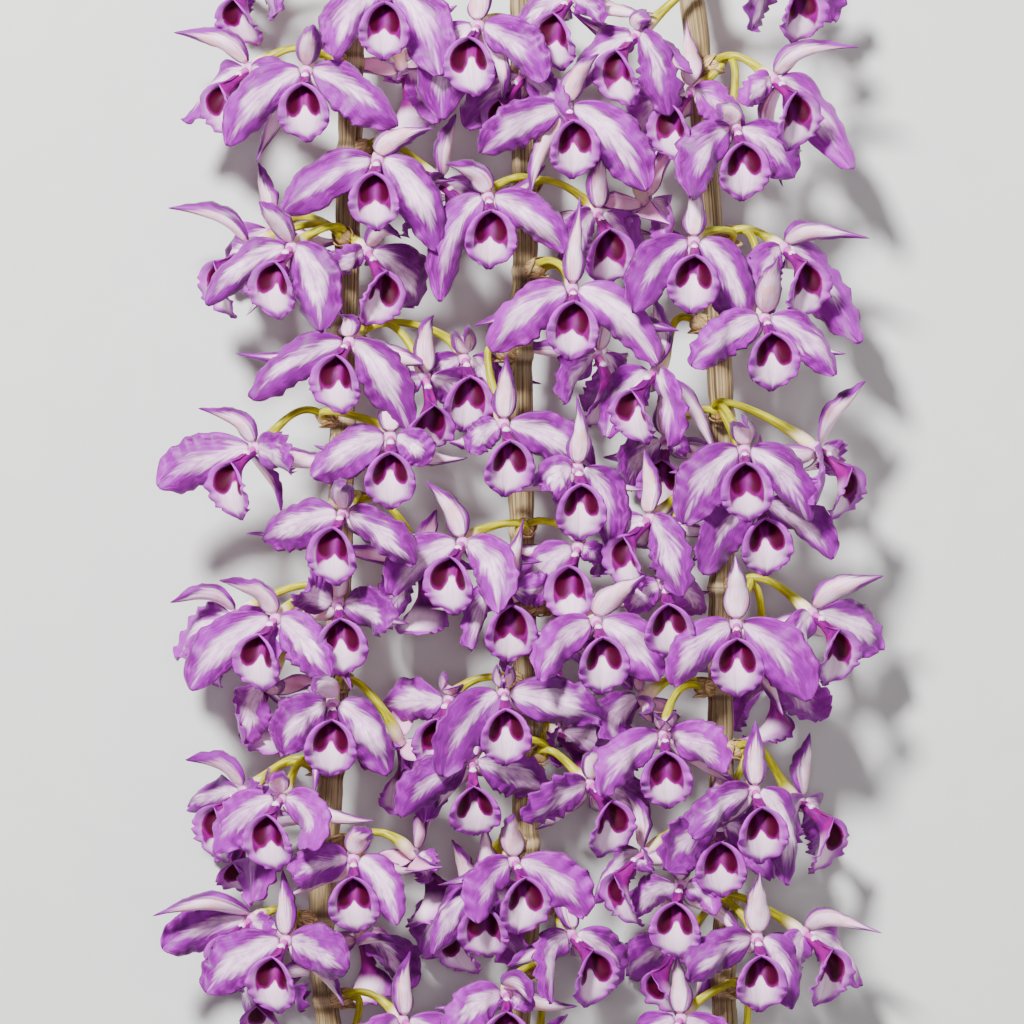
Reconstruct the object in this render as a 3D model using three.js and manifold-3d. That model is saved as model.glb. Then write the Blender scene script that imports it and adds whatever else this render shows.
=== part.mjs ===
// Dendrobium orchid in full flower: three long canes on one rhizome, each node of a cane
// carrying a small spray of blooms. The plant lies on its back, as lifted from its tree.
// Millimetres. X runs across the canes, +Y towards the roots, +Z up from the surface.

import * as THREE from 'three';
import { mergeVertices } from 'three/addons/utils/BufferGeometryUtils.js';
import Module from 'manifold-3d';

const wasm = await Module();
wasm.setup();

// ---------------------------------------------------------------- driving dimensions

const ORIGIN_X = 2.5; // plan point under which the part's origin lies
const ORIGIN_Y = 65;
const CANE_AXIS_HEIGHT = 34; // height of the flowering canes over the surface
const CANE_RADIUS = 4.9;
const CANE_SIDES = 7;
const NODE_SPACING = 32.5; // length of one internode
const NODE_SWELLING = 0.6; // extra radius at a node's ring
const CANE_TIP_LENGTH = 45; // stretch over which a cane tapers to its tip
const CANE_TIP_RADIUS = 2;
const CANE_END_RADIUS = 0.6; // radius of the ring that closes a cane's tip
const CANE_FIRST_STEP = 6; // way from a cane's tip to its first full ring
const BARE_TOP = 12; // end of a cane that has no node, where it enters the rhizome
const PEDICEL_RADIUS = 1.45;
const MENTUM_RADIUS = 2.5; // swollen end of the pedicel, where the tepals join
const PETAL_THICKNESS = 1.0;
const SEPAL_THICKNESS = 1.1;
const CLEARANCE = 0.35; // gap kept between separate pieces
const FLOOR_SOFTNESS = 3; // height under which a low tepal bends along the surface

// ---------------------------------------------------------------- the canes

// Each row: Y, then X and height of the cane's axis there, from the tip to the root end.
const H = CANE_AXIS_HEIGHT;
const CANES = {
  left: [
    [-240, -64, 26], [-189, -71, H], [-155, -73, H], [-128, -71, H], [-64, -67, H],
    [33, -65, H], [141, -62, H], [195, -60, H], [235, -52, 31], [277, -35, 21], [317, -11, 9],
  ],
  middle: [
    [-232, 0, 28], [-172, 4, H], [-147, 7, H], [-115, 5, H], [-87, 7, H], [-49, 5, H],
    [54, 3, H], [94, 5, H], [189, 4, H], [240, 5, 30], [285, 6, 18], [317, 8, 9],
  ],
  right: [
    [-245, 84, 26], [-182, 81, H], [-147, 82, H], [-90, 80, H], [-33, 80, H], [12, 81, H],
    [81, 78, H], [119, 75, H], [187, 70, H], [230, 61, 31], [276, 45, 21], [317, 26, 9],
  ],
};

// ---------------------------------------------------------------- the tepals

// A kind of blade. port: the angle at which it leaves the bloom's middle, seen from the front
// with 90 up. root: radius and depth of its root's middle, over and under the hub's edge. aim:
// where it points by itself, to the right, up and to the front. bow: how far it bulges to the
// front on its way, as a share of its length. cup: how far its edges stand to the front. head
// and tail: how slowly it widens from its root and how soon it narrows to its tip. stops: the
// places along it that have a section.
const DORSAL = {
  port: 90, root: [[2.8, 0.4], [2.5, -1.4]], aim: [0, 0.95, -0.12], length: 27, width: 10,
  bow: 0.03, cup: -0.25, twist: 0.5, head: 0.7, tail: 0.9, stops: [0.44],
  thickness: SEPAL_THICKNESS,
};
const PETAL = {
  port: 10, root: [[2.5, 1.1], [2.5, -0.15]], aim: [0.8, -0.6, 0.2], length: 35, width: 19,
  bow: 0.14, cup: 0.2, twist: 0.4, head: 0.9, tail: 0.66, stops: [0.38, 0.74],
  thickness: PETAL_THICKNESS,
};
const SEPAL = {
  port: -50, root: [[2.8, 0.4], [2.5, -1.4]], aim: [0.88, -0.3, -0.38], length: 32, width: 9.5,
  bow: -0.16, cup: -0.25, twist: 0.8, head: 0.7, tail: 0.9, stops: [0.44],
  thickness: SEPAL_THICKNESS,
};
const LIP = {
  port: -90, root: [[1.5, 1.5], [3.5, -0.5]], twist: 0, stops: [0.27, 0.52, 0.78],
  thickness: PETAL_THICKNESS,
};
// A bloom's blades in order round it: kind, side, and the place of its tip in a bloom's row.
const SLOTS = [
  { kind: DORSAL, side: 1, tip: 5 }, { kind: PETAL, side: 1, tip: 7 },
  { kind: SEPAL, side: 1, tip: 9 }, { kind: LIP, side: 1 },
  { kind: SEPAL, side: -1, tip: 8 }, { kind: PETAL, side: -1, tip: 6 },
];
const LIP_SLOT = 3;
const PETAL_SLOTS = [5, 1];
const SEPAL_SLOTS = [0, 4, 2];
const SIDE_PLACE = 0.4; // place along a blade where its left side is told from its right
const CLAW_HALF_WIDTH = 1.5; // half width of a tepal at its root
const CLAW_REACH = 0.22; // share of its length by which a tepal first runs out of the hub
const WAY_REACH = 0.25; // share of its way that its path's bend lies along
const LEAST_WIDTH = 0.92; // least width of a tepal, as a share of its kind's
const WIDTH_SPREAD = 0.16; // what a draw adds to that
const MIN_FACE = 0.2; // a blade that runs straighter to the front than this faces up instead
const MAX_LEAN = 0.5; // most of a tepal's length that runs towards or from the viewer
const SECTION_REACH = 0.02; // how far from a section the way of the blade is taken
const TIP_REACH = 0.06;

// The lip: the front and the drop of its path's bend and tip from the bloom's middle.
const LIP_BEND = [19, 7];
const LIP_TIP = [11.5, 26.5];
const LIP_SWAY = 2; // most that its tip swings to a side
// Along the lip: half width and how far its edges stand up, rolled at first, spread at last.
const LIP_ROWS = [
  [0, 1.6, 0.4], [0.26, 2.9, 1.2], [0.5, 5.2, 1.1], [0.64, 8.4, 0.45], [0.76, 9.6, 0.15],
  [0.9, 7.4, 0.1], [1, 0.6, 0],
];

// The hub, where the blades and the pedicel join.
const HUB_RADIUS = 3.1;
const HUB_PORT_RADIUS = 2.5;
const HUB_FRONT = 1.4;
const HUB_BACK = 2.3;

// The pedicel's arch: how far it runs back from the bloom, and out from its stub, as shares of
// its reach, and how far both ends rise.
const PEDICEL_FORWARD = 0.34;
const PEDICEL_LEAST = 11; // least length of its way back from the bloom
const PEDICEL_OUT = 0.42;
const PEDICEL_RISE = 0.16;

// ---------------------------------------------------------------- the blooms

// A spray: cane, Y of its node, angle round the cane (0 to the right, 90 up), blooms.
// A bloom: X, Y, rise over the cane's axis, turn to the right and nod in degrees, then the
// way from its middle to the tip of its dorsal sepal, left petal, right petal, left sepal
// and right sepal, each as X, Y; an empty tip hangs as the tepal would by itself.
const SPRAYS = {
  left_01: ['left', 204, 60, [
    [-99, 206, 3, -40, 30, [], [-8, -16], [9, -19], [], []],
    [-48, 198, 25, 0, 10, [], [-20, -27], [21, -32], [-25, -14], []],
    [-42, 171, -15, 150, 40, [], [3, -22], [14, -24], [], []],
  ]],
  left_02: ['left', 172, 150, [
    [-101, 169, 5, -50, 12, [-29, 14], [-32, -23], [], [], []],
    [-78, 167, 27, -5, 10, [4, 18], [-30, -29], [35, -22], [-22, -38], []],
  ]],
  left_03: ['left', 138, 30, [
    [-51, 133, 29, -5, 8, [21, 12], [-36, -20], [24, -35], [-34, -8], []],
    [-27, 126, 3, 60, 20, [], [], [], [], []],
  ]],
  left_04: ['left', 104, 100, [
    [-101, 101, 3, -60, 10, [-31, 15], [-30, -19], [], [], []],
    [-84, 100, 25, -25, 10, [-12, 17], [-32, -22], [11, -32], [-28, -33], [21, -29]],
    [-55, 99, 12, 35, 25, [18, 5], [2, -35], [], [-9, -26], [27, -23]],
    [-92, 108, -4, -50, 25, [], [], [], [], []],
  ]],
  left_05: ['left', 69, 40, [
    [-62, 64, 29, -20, 10, [-5, 14], [-38, -21], [22, -36], [-42, -3], []],
    [-33, 51, 17, 20, 35, [], [-2, -33], [], [], []],
    [-18, 58, 7, 10, 15, [-1, 10], [0, -42], [20, -27], [-8, -5], [32, -12]],
  ]],
  left_06: ['left', 35, 140, [
    [-98, 24, 21, -40, 10, [-21, 15], [-37, -14], [14, -10], [13, -22], [38, -5]],
    [-46, 28, 27, 0, 10, [], [-30, -15], [13, -23], [-29, -3], []],
  ]],
  left_07: ['left', 3, 50, [
    [-64, -1, 29, -15, 8, [2, 11], [-32, -11], [27, -20], [-40, -9], []],
    [-35, -21, -5, 160, 45, [], [-12, -42], [15, -38], [], []],
  ]],
  left_08: ['left', -33, 110, [
    [-106, -40, 5, -55, 12, [-25, 6], [-32, -16], [], [], []],
    [-90, -41, 25, -25, 10, [-20, 13], [-32, -27], [21, -22], [], [32, -25]],
    [-95, -68, -13, -120, 50, [], [-6, -20], [], [], []],
    [-66, -35, 22, 5, 12, [], [-16, 5], [18, -9], [], []],
  ]],
  left_09: ['left', -66, 75, [
    [-68, -73, 29, 0, 12, [-8, 8], [-20, -21], [21, -28], [-6, -34], [26, -17]],
    [-43, -88, 5, 165, 30, [], [-1, -37], [10, -31], [], []],
  ]],
  left_10: ['left', -98, 140, [
    [-103, -107, 5, -50, 10, [-22, 13], [-22, -7], [-2, -12], [], []],
    [-88, -109, 27, -20, 10, [-6, 6], [-22, -19], [19, -19], [], [36, -8]],
    [-103, -121, -11, -30, 50, [], [-12, -12], [2, -24], [], []],
  ]],
  left_11: ['left', -128, 30, [
    [-60, -132, 29, 0, 12, [5, 10], [-21, -5], [18, -28], [-28, -15], []],
    [-37, -131, 7, 120, 30, [], [5, -37], [15, -32], [-8, -15], [22, -11]],
    [-58, -163, -11, 150, 40, [], [], [17, -21], [], []],
  ]],
  left_12: ['left', -157, 150, [
    [-100, -156, 5, -45, 12, [-27, 5], [-34, -11], [-10, -20], [], []],
    [-86, -163, 25, -20, 10, [], [-30, -20], [23, -10], [], [23, -24]],
    [-94, -176, -9, -30, 50, [], [-6, -22], [13, -15], [], []],
  ]],
  left_13: ['left', -187, 30, [
    [-41, -194, 17, 30, 10, [], [], [], [], []],
    [-70, -222, 14, -15, 15, [], [], [], [], []],
  ]],
  middle_01: ['middle', 183, 100, [
    [-13, 184, 27, -15, 10, [], [-14, -36], [25, -22], [-18, 6], [10, -31]],
    [22, 195, 21, -30, 15, [], [-17, -15], [-2, -34], [], []],
  ]],
  middle_02: ['middle', 157, 40, [
    [21, 153, 29, 10, 10, [12, 20], [-33, -19], [30, -32], [-14, -36], [36, -17]],
    [4, 166, 15, -50, 25, [], [-28, -25], [], [-17, -21], []],
  ]],
  middle_03: ['middle', 124, 75, [
    [-9, 119, 25, 5, 10, [-15, 11], [-19, -40], [29, -22], [], [23, 15]],
    [33, 114, -2, 20, 15, [], [-6, -30], [11, -30], [], []],
  ]],
  middle_04: ['middle', 92, 50, [
    [23, 84, 31, 2, 8, [3, 35], [-31, -24], [32, -29], [-39, -12], [42, -15]],
    [33, 60, -6, 35, 35, [], [-13, -19], [-3, -25], [], []],
  ]],
  middle_05: ['middle', 60, 140, [
    [-3, 33, 25, 10, 12, [], [2, -32], [33, -17], [], []],
  ]],
  middle_06: ['middle', 27, 40, [
    [25, 16, 27, 5, 10, [], [-9, -11], [13, -34], [], []],
  ]],
  middle_07: ['middle', -7, 80, [
    [-2, -30, 21, 8, 12, [5, 29], [-15, -27], [34, -2], [], []],
    [25, -14, 13, -15, 20, [], [-20, -17], [], [-35, 3], []],
    [-19, -12, 25, -20, 10, [-14, 24], [], [13, -24], [-22, -2], []],
  ]],
  middle_08: ['middle', -37, 40, [
    [32, -42, 29, 10, 10, [18, 19], [-22, -22], [27, -26], [-25, -4], []],
    [18, -49, -8, -30, 30, [], [-21, -18], [], [], []],
  ]],
  middle_09: ['middle', -66, 140, [
    [-3, -69, 27, 3, 10, [0, 6], [-23, -30], [37, -11], [], []],
    [-24, -72, 17, -20, 14, [0, 6], [-27, -2], [], [-10, -22], []],
  ]],
  middle_10: ['middle', -94, 60, [
    [30, -104, 19, 35, 12, [8, 15], [-25, -14], [17, -16], [-16, -19], []],
    [-15, -95, 29, 3, 25, [], [], [29, -14], [-18, -24], []],
    [18, -85, -8, 60, 20, [], [], [21, -8], [], []],
  ]],
  middle_11: ['middle', -127, 130, [
    [1, -133, 27, 18, 10, [0, 19], [-13, -26], [], [], [17, -4]],
    [-9, -142, 15, -10, 20, [], [-18, -21], [8, -27], [-11, -6], []],
    [-16, -150, -10, -40, 30, [], [], [], [], []],
  ]],
  middle_12: ['middle', -152, 30, [
    [23, -161, 21, 35, 10, [], [-6, -25], [17, -25], [-25, -11], [18, -11]],
  ]],
  middle_13: ['middle', -176, 60, [
    [-2, -183, 25, 0, 15, [11, 2], [-18, -12], [7, -12], [], []],
    [14, -214, 10, 30, 20, [], [], [], [], []],
  ]],
  right_01: ['right', 203, 60, [
    [104, 206, 11, 30, 15, [], [-14, -24], [19, -19], [], []],
    [47, 181, 21, -35, 12, [3, 6], [], [10, -32], [-24, 10], [19, -16]],
  ]],
  right_02: ['right', 170, 40, [
    [100, 164, 21, 35, 10, [32, 13], [3, -30], [30, -34], [-21, -12], [9, -42]],
    [85, 145, 27, 10, 12, [-8, 4], [-17, -27], [], [], []],
    [68, 160, 15, -35, 12, [], [], [], [], [13, -6]],
  ]],
  right_03: ['right', 138, 170, [
    [52, 119, -4, 120, 35, [], [-4, -30], [], [], [15, -15]],
  ]],
  right_04: ['right', 104, 40, [
    [104, 100, 17, 35, 10, [32, 4], [-2, -28], [29, -36], [-13, -36], []],
    [96, 73, 29, 10, 12, [], [-27, -19], [], [-27, -9], [32, -14]],
    [69, 102, 29, 0, 10, [], [-22, -25], [20, -37], [-13, 16], []],
  ]],
  right_05: ['right', 71, 160, [
    [54, 53, 23, -40, 15, [], [-25, -28], [1, -33], [], [22, -37]],
  ]],
  right_06: ['right', 37, 100, [
    [117, 24, 11, 60, 15, [20, 24], [], [12, -38], [], []],
    [88, 23, 33, 0, 8, [0, 11], [-23, -28], [24, -28], [], [36, -13]],
    [94, 3, 21, 8, 12, [], [-20, -27], [], [-27, -23], []],
    [59, 27, -6, -10, 20, [], [-13, -19], [8, -15], [], []],
  ]],
  right_07: ['right', 3, 150, [
    [52, -3, 21, -45, 12, [], [], [11, -30], [], []],
    [58, -28, 23, 5, 15, [], [-17, -15], [15, -11], [], []],
  ]],
  right_08: ['right', -29, 40, [
    [115, -39, 15, 40, 10, [27, 15], [-1, -32], [27, -15], [], []],
    [85, -43, 31, 0, 10, [], [-25, -25], [27, -30], [-28, -11], [18, -34]],
    [100, -64, -10, 130, 55, [], [-13, -21], [17, -19], [], []],
  ]],
  right_09: ['right', -68, 150, [
    [49, -71, 9, -120, 20, [], [-10, -21], [], [], [8, -15]],
    [58, -85, 27, 0, 12, [0, 5], [-25, -23], [22, -13], [], [30, -21]],
  ]],
  right_10: ['right', -92, 40, [
    [92, -106, 31, 10, 10, [], [-21, -17], [13, -36], [-32, -19], [23, -15]],
    [111, -111, -4, 60, 15, [], [], [10, -22], [], [25, -16]],
    [79, -119, 21, 0, 12, [], [-21, -17], [21, -21], [], []],
  ]],
  right_11: ['right', -125, 150, [
    [50, -130, 15, -60, 20, [], [-18, -20], [-10, -20], [-32, -5], []],
    [64, -142, 25, -10, 12, [], [-23, -19], [15, -27], [], [25, -21]],
  ]],
  right_12: ['right', -150, 100, [
    [93, -162, 29, 5, 10, [], [-25, -15], [14, -30], [-18, -8], [18, -11]],
    [112, -161, 11, 45, 10, [29, 0], [0, -27], [], [], []],
    [64, -166, -10, -60, 30, [], [-21, -15], [-9, -19], [], [4, -25]],
  ]],
  right_13: ['right', -183, 60, [
    [64, -193, 21, -20, 15, [], [], [], [], []],
    [92, -224, 10, 25, 20, [], [], [], [], []],
  ]],
};

// ---------------------------------------------------------------- small helpers

const vec = (x, y, z) => new THREE.Vector3(x, y, z);
const radians = THREE.MathUtils.degToRad;
const HEIGHT_AXIS = vec(0, 0, 1);

// A fixed draw between 0 and 1 for draw number k of bloom number seed.
function draw(seed, k) {
  const wave = Math.sin(seed * 12.9898 + k * 78.233) * 43758.5453;
  return wave - Math.floor(wave);
}

// What would dip under the surface bends along it.
function aboveFloor(point) {
  if (point.z < FLOOR_SOFTNESS) {
    point.z = FLOOR_SOFTNESS * Math.exp(point.z / FLOOR_SOFTNESS - 1);
  }
  return point;
}

function bezier2(a, b, c, t) {
  return a.clone().multiplyScalar((1 - t) ** 2)
    .addScaledVector(b, 2 * t * (1 - t))
    .addScaledVector(c, t ** 2);
}

// A closed solid through rings with equally many points, each ring closed by its own face or,
// where it is a single point, by a fan.
function solidOfRings(rings) {
  const positions = [];
  const starts = [];
  for (const ring of rings) {
    starts.push(positions.length / 3);
    for (const point of ring) positions.push(point.x, point.y, point.z);
  }
  const index = [];
  for (let k = 0; k + 1 < rings.length; k += 1) {
    const here = rings[k].length;
    const next = rings[k + 1].length;
    const sides = Math.max(here, next);
    for (let i = 0; i < sides; i += 1) {
      const j = (i + 1) % sides;
      const a = starts[k] + (i % here);
      const b = starts[k] + (j % here);
      const c = starts[k + 1] + (j % next);
      const d = starts[k + 1] + (i % next);
      if (here > 1) index.push(a, b, c);
      if (next > 1) index.push(a, c, d);
    }
  }
  for (let i = 1; i + 1 < rings[0].length; i += 1) {
    index.push(starts[0], starts[0] + i + 1, starts[0] + i);
  }
  const last = starts.length - 1;
  for (let i = 1; i + 1 < rings[last].length; i += 1) {
    index.push(starts[last], starts[last] + i, starts[last] + i + 1);
  }
  return closedSolid(positions, index);
}

// The solid inside a closed surface, its faces turned to point out.
function closedSolid(positions, index) {
  const make = () => new wasm.Manifold(new wasm.Mesh({
    numProp: 3,
    vertProperties: new Float32Array(positions),
    triVerts: new Uint32Array(index),
  }));
  const solid = make();
  if (solid.volume() > 0) return solid;
  index.reverse();
  return make();
}

// A round bar along a path: radiusAt gives its radius, steps are the places of its rings.
function barSolid(pointAt, radiusAt, steps, sides) {
  const rings = steps.map((t, i) => {
    const centre = pointAt(t);
    const ahead = pointAt(steps[Math.min(i + 1, steps.length - 1)])
      .sub(pointAt(steps[Math.max(i - 1, 0)]))
      .normalize();
    const side = ahead.clone().cross(Math.abs(ahead.z) > 0.9 ? vec(0, 1, 0) : HEIGHT_AXIS);
    side.normalize();
    const rise = side.clone().cross(ahead);
    const radius = radiusAt(t);
    return Array.from({ length: sides }, (_, i) => {
      const angle = (2 * Math.PI * i) / sides;
      return centre.clone()
        .addScaledVector(side, radius * Math.cos(angle))
        .addScaledVector(rise, radius * Math.sin(angle));
    });
  });
  return solidOfRings(rings);
}

// ---------------------------------------------------------------- canes

// Value of a column of a cane's rows at height y, on a smooth curve through the rows.
function columnAt(rows, y, column) {
  const last = rows.length - 2;
  let k = 0;
  while (k < last && y > rows[k + 1][0]) k += 1;
  const slope = (i) => {
    const before = rows[Math.max(i - 1, 0)];
    const after = rows[Math.min(i + 1, rows.length - 1)];
    return (after[column] - before[column]) / (after[0] - before[0]);
  };
  const span = rows[k + 1][0] - rows[k][0];
  const t = (y - rows[k][0]) / span;
  return rows[k][column] * (1 + 2 * t) * (1 - t) ** 2
    + rows[k + 1][column] * t * t * (3 - 2 * t)
    + slope(k) * span * t * (1 - t) ** 2
    - slope(k + 1) * span * t * t * (1 - t);
}

function canePoint(rows, y) {
  return vec(columnAt(rows, y, 1), y, columnAt(rows, y, 2));
}

function caneRadius(rows, y) {
  const fromTip = y - rows[0][0];
  const taper = Math.min(fromTip / CANE_TIP_LENGTH, 1);
  return CANE_TIP_RADIUS + (CANE_RADIUS - CANE_TIP_RADIUS) * Math.sqrt(taper);
}

// Y of each node of a cane: those that carry sprays, then bare ones up to the rhizome.
function caneNodes(name) {
  const flowering = Object.values(SPRAYS)
    .filter((spray) => spray[0] === name)
    .map((spray) => spray[1])
    .sort((a, b) => a - b);
  const top = CANES[name][CANES[name].length - 1][0];
  for (let y = flowering[flowering.length - 1] + NODE_SPACING; y < top - BARE_TOP; y += NODE_SPACING) {
    flowering.push(y);
  }
  return flowering;
}

function caneSolid(name, growth) {
  const rows = CANES[name];
  const start = rows[0][0];
  const end = rows[rows.length - 1][0];
  const nodes = caneNodes(name);
  const stops = [start - growth, start + CANE_FIRST_STEP];
  nodes.forEach((y, i) => {
    if (i > 0) stops.push((nodes[i - 1] + y) / 2);
    stops.push(y);
  });
  stops.push(end + growth);
  const radiusAt = (y) => {
    if (y <= start) return CANE_END_RADIUS + growth;
    const swelling = nodes.includes(y) ? NODE_SWELLING : 0;
    return caneRadius(rows, y) + swelling + growth;
  };
  return barSolid((y) => canePoint(rows, y), radiusAt, stops, CANE_SIDES);
}

// ---------------------------------------------------------------- rhizome and roots

const RHIZOME = { from: -20, to: 36, y: 322, height: 6.5, radius: 9, endShare: 0.35 };
const RHIZOME_KNOBS = [-1, -0.8, -0.45, 0, 0.45, 0.8, 1]; // its rings, from end to end
const RHIZOME_SIDES = 8;
// Each root: X where it leaves, then its tip's X and Y.
const ROOTS = [
  [-14, -46, 346], [-9, -27, 371], [0, -8, 380], [9, 12, 366], [17, 33, 382], [25, 52, 362],
  [31, 66, 341],
];
const ROOT_RADIUS = 1.9;
const ROOT_TIP_SHARE = 0.5; // radius of a root's tip, as a share of its radius
const ROOT_STOPS = [0, 0.35, 0.7, 1];
const ROOT_SIDES = 5;
const ROOT_BEND = 3; // how far a root's bend lies to the right
const ROOT_LIFT = 1; // height of the bend over a root that lies flat

function rhizomeSolid(growth) {
  const { from, to, y, height, radius, endShare } = RHIZOME;
  const middle = (from + to) / 2;
  const half = (to - from) / 2;
  const radiusAt = (x) => {
    const fullness = Math.sqrt(Math.max(0, 1 - ((x - middle) / half) ** 4));
    return radius * (endShare + (1 - endShare) * fullness) + growth;
  };
  const places = RHIZOME_KNOBS.map((k) => middle + half * k);
  const body = barSolid((x) => vec(x, y, height), radiusAt, places, RHIZOME_SIDES);
  const roots = ROOTS.map(([x, tipX, tipY]) => {
    const start = vec(x, y + 2, height);
    const bend = vec((x + tipX) / 2 + ROOT_BEND, (y + tipY) / 2, ROOT_RADIUS + ROOT_LIFT);
    const tip = vec(tipX, tipY, ROOT_RADIUS * ROOT_TIP_SHARE);
    return barSolid(
      (t) => bezier2(start, bend, tip, t),
      (t) => ROOT_RADIUS * (1 - (1 - ROOT_TIP_SHARE) * t) + growth,
      ROOT_STOPS,
      ROOT_SIDES,
    );
  });
  return wasm.Manifold.union([body, ...roots]).trimByPlane([0, 0, 1], 0);
}

// ---------------------------------------------------------------- one bloom

// The bloom's own directions in the part's frame, and the point where its tepals join.
function bloomFrame(bloom) {
  const [x, y, rise, turn, nod] = bloom;
  const a = radians(turn);
  const b = radians(nod);
  const front = vec(Math.sin(a) * Math.cos(b), -Math.sin(b), Math.cos(a) * Math.cos(b));
  const up = vec(0, 1, 0).addScaledVector(front, -front.y).normalize();
  const right = up.clone().cross(front);
  const hand = right.x < 0 ? -1 : 1;
  right.multiplyScalar(hand);
  return { middle: vec(x, y, CANE_AXIS_HEIGHT + rise), front, up, right, hand };
}

function inFrame(frame, right, up, front) {
  return frame.right.clone().multiplyScalar(right)
    .addScaledVector(frame.up, up)
    .addScaledVector(frame.front, front);
}

// The angle at which the blade in a slot leaves the hub.
function portOf(slot) {
  const { kind, side } = SLOTS[slot];
  return side > 0 ? kind.port : 180 - kind.port;
}

// The direction in which a blade leaves the bloom's middle.
function portWay(frame, port) {
  return inFrame(frame, Math.cos(radians(port)), Math.sin(radians(port)), 0);
}

// The sheet of a blade: where its point t along and v across lies. It follows a bowed line
// from its slot, faces the bloom's front, or its back where the line runs back over the slot,
// and turns by twist as it goes.
function sheetOn(frame, slot, start, bend, end, twist, halfAt, cupAt) {
  const rootAcross = hubEdge(frame, (slot + 1) % SLOTS.length, 0).sub(hubEdge(frame, slot, 0));
  const linesAt = (t) => {
    const along = bend.clone().sub(start).multiplyScalar(1 - t)
      .addScaledVector(end.clone().sub(bend), t)
      .normalize();
    const face = frame.front.clone().addScaledVector(along, -frame.front.dot(along));
    if (face.length() < MIN_FACE) face.copy(frame.up).addScaledVector(along, -frame.up.dot(along));
    face.normalize();
    return { face, across: along.cross(face).multiplyScalar(frame.hand) };
  };
  const flip = linesAt(SIDE_PLACE).across.dot(rootAcross) < 0 ? -1 : 1;
  return (t, v, growth = 0) => {
    const centre = bezier2(start, bend, end, t);
    const { face, across } = linesAt(t);
    face.multiplyScalar(flip);
    across.multiplyScalar(flip);
    const angle = twist * t;
    const half = halfAt(t) + growth;
    const sideways = half * v;
    const forward = cupAt(t) * half * v * v;
    return aboveFloor(centre
      .addScaledVector(across, sideways * Math.cos(angle) - forward * Math.sin(angle))
      .addScaledVector(face, sideways * Math.sin(angle) + forward * Math.cos(angle)));
  };
}

// A tepal's sheet. change: its length as a share of the natural one, how far its tip is moved
// to the front (a side sepal's to the back), what its bow gains, and whether it grows where it
// would by itself instead of to its given tip.
function tepalSheet(bloom, slot, [share, lift, bulge, own]) {
  const { frame } = bloom;
  const { kind, side, tip } = SLOTS[slot];
  const target = bloom.row[tip];
  const aim = inFrame(frame, side * kind.aim[0], kind.aim[1], kind.aim[2]).normalize();
  const way = aim.clone().multiplyScalar(kind.length);
  if (target.length > 0 && !own) {
    const flat = Math.hypot(target[0], target[1]);
    const rest = Math.sqrt(Math.max(kind.length ** 2 - flat ** 2, 0));
    const lean = Math.min(rest, MAX_LEAN * kind.length) * (aim.z < 0 ? -1 : 1);
    way.set(target[0], target[1], lean);
  }
  way.multiplyScalar(share).addScaledVector(frame.front, kind === SEPAL ? -lift : lift);
  const length = way.length();
  const outward = portWay(frame, portOf(slot));
  const start = frame.middle.clone().addScaledVector(outward, HUB_PORT_RADIUS);
  const bend = start.clone()
    .addScaledVector(outward, CLAW_REACH * length)
    .addScaledVector(way, WAY_REACH)
    .addScaledVector(frame.front, (kind.bow + bulge) * length);
  const end = frame.middle.clone().add(way);
  const seed = bloom.seed + 0.1 * slot;
  const twist = kind.twist * (2 * draw(seed, 1) - 1);
  const width = kind.width * (LEAST_WIDTH + WIDTH_SPREAD * draw(seed, 2));
  const half = (width / 2) * Math.sqrt(share);
  const fullest = kind.head / (kind.head + kind.tail);
  const norm = fullest ** kind.head * (1 - fullest) ** kind.tail;
  const halfAt = (t) => CLAW_HALF_WIDTH * (1 - t) ** 2
    + (half * t ** kind.head * Math.max(1 - t, 0) ** kind.tail) / norm;
  return sheetOn(frame, slot, start, bend, end, twist, halfAt, () => kind.cup);
}

function lipSheet(bloom, [share, lift, bulge]) {
  const { frame } = bloom;
  const sway = LIP_SWAY * (2 * draw(bloom.seed, 3) - 1);
  const start = frame.middle.clone().addScaledVector(portWay(frame, LIP.port), HUB_PORT_RADIUS);
  const bend = frame.middle.clone()
    .add(inFrame(frame, 0, -share * LIP_BEND[1], share * LIP_BEND[0] * (1 + bulge)));
  const end = frame.middle.clone()
    .add(inFrame(frame, sway, -share * LIP_TIP[1], share * LIP_TIP[0]));
  end.z += lift;
  const halfAt = (t) => share * columnAt(LIP_ROWS, t, 1);
  const cupAt = (t) => columnAt(LIP_ROWS, t, 2);
  return sheetOn(frame, LIP_SLOT, start, bend, end, LIP.twist, halfAt, cupAt);
}

function sheetOf(bloom, slot, change) {
  return slot === LIP_SLOT ? lipSheet(bloom, change) : tepalSheet(bloom, slot, change);
}

// The section of a blade at t: left edge, over its middle, right edge, under its middle.
function section(frame, sheet, t, thickness, growth) {
  const left = sheet(t, -1, growth);
  const right = sheet(t, 1, growth);
  const middle = sheet(t, 0, growth);
  const along = sheet(t + SECTION_REACH, 0).sub(sheet(t - SECTION_REACH, 0));
  const face = right.clone().sub(left).cross(along).normalize().multiplyScalar(frame.hand);
  const half = thickness / 2 + growth;
  const over = middle.clone().addScaledVector(face, half);
  return [left, over, right, middle.addScaledVector(face, -half)];
}

// The pedicel's axis, from the bloom's back in an arch down to its foot in the stub.
function pedicelAxis(frame, foot, out) {
  const back = frame.middle.clone().addScaledVector(frame.front, -HUB_BACK);
  const reach = back.distanceTo(foot);
  const run = Math.max(PEDICEL_FORWARD * reach, PEDICEL_LEAST);
  const first = back.clone().addScaledVector(frame.front, -run);
  first.y += PEDICEL_RISE * reach;
  const second = foot.clone().addScaledVector(out, PEDICEL_OUT * reach);
  second.y += PEDICEL_RISE * reach;
  return new THREE.CubicBezierCurve3(back, first, second, foot);
}

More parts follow.
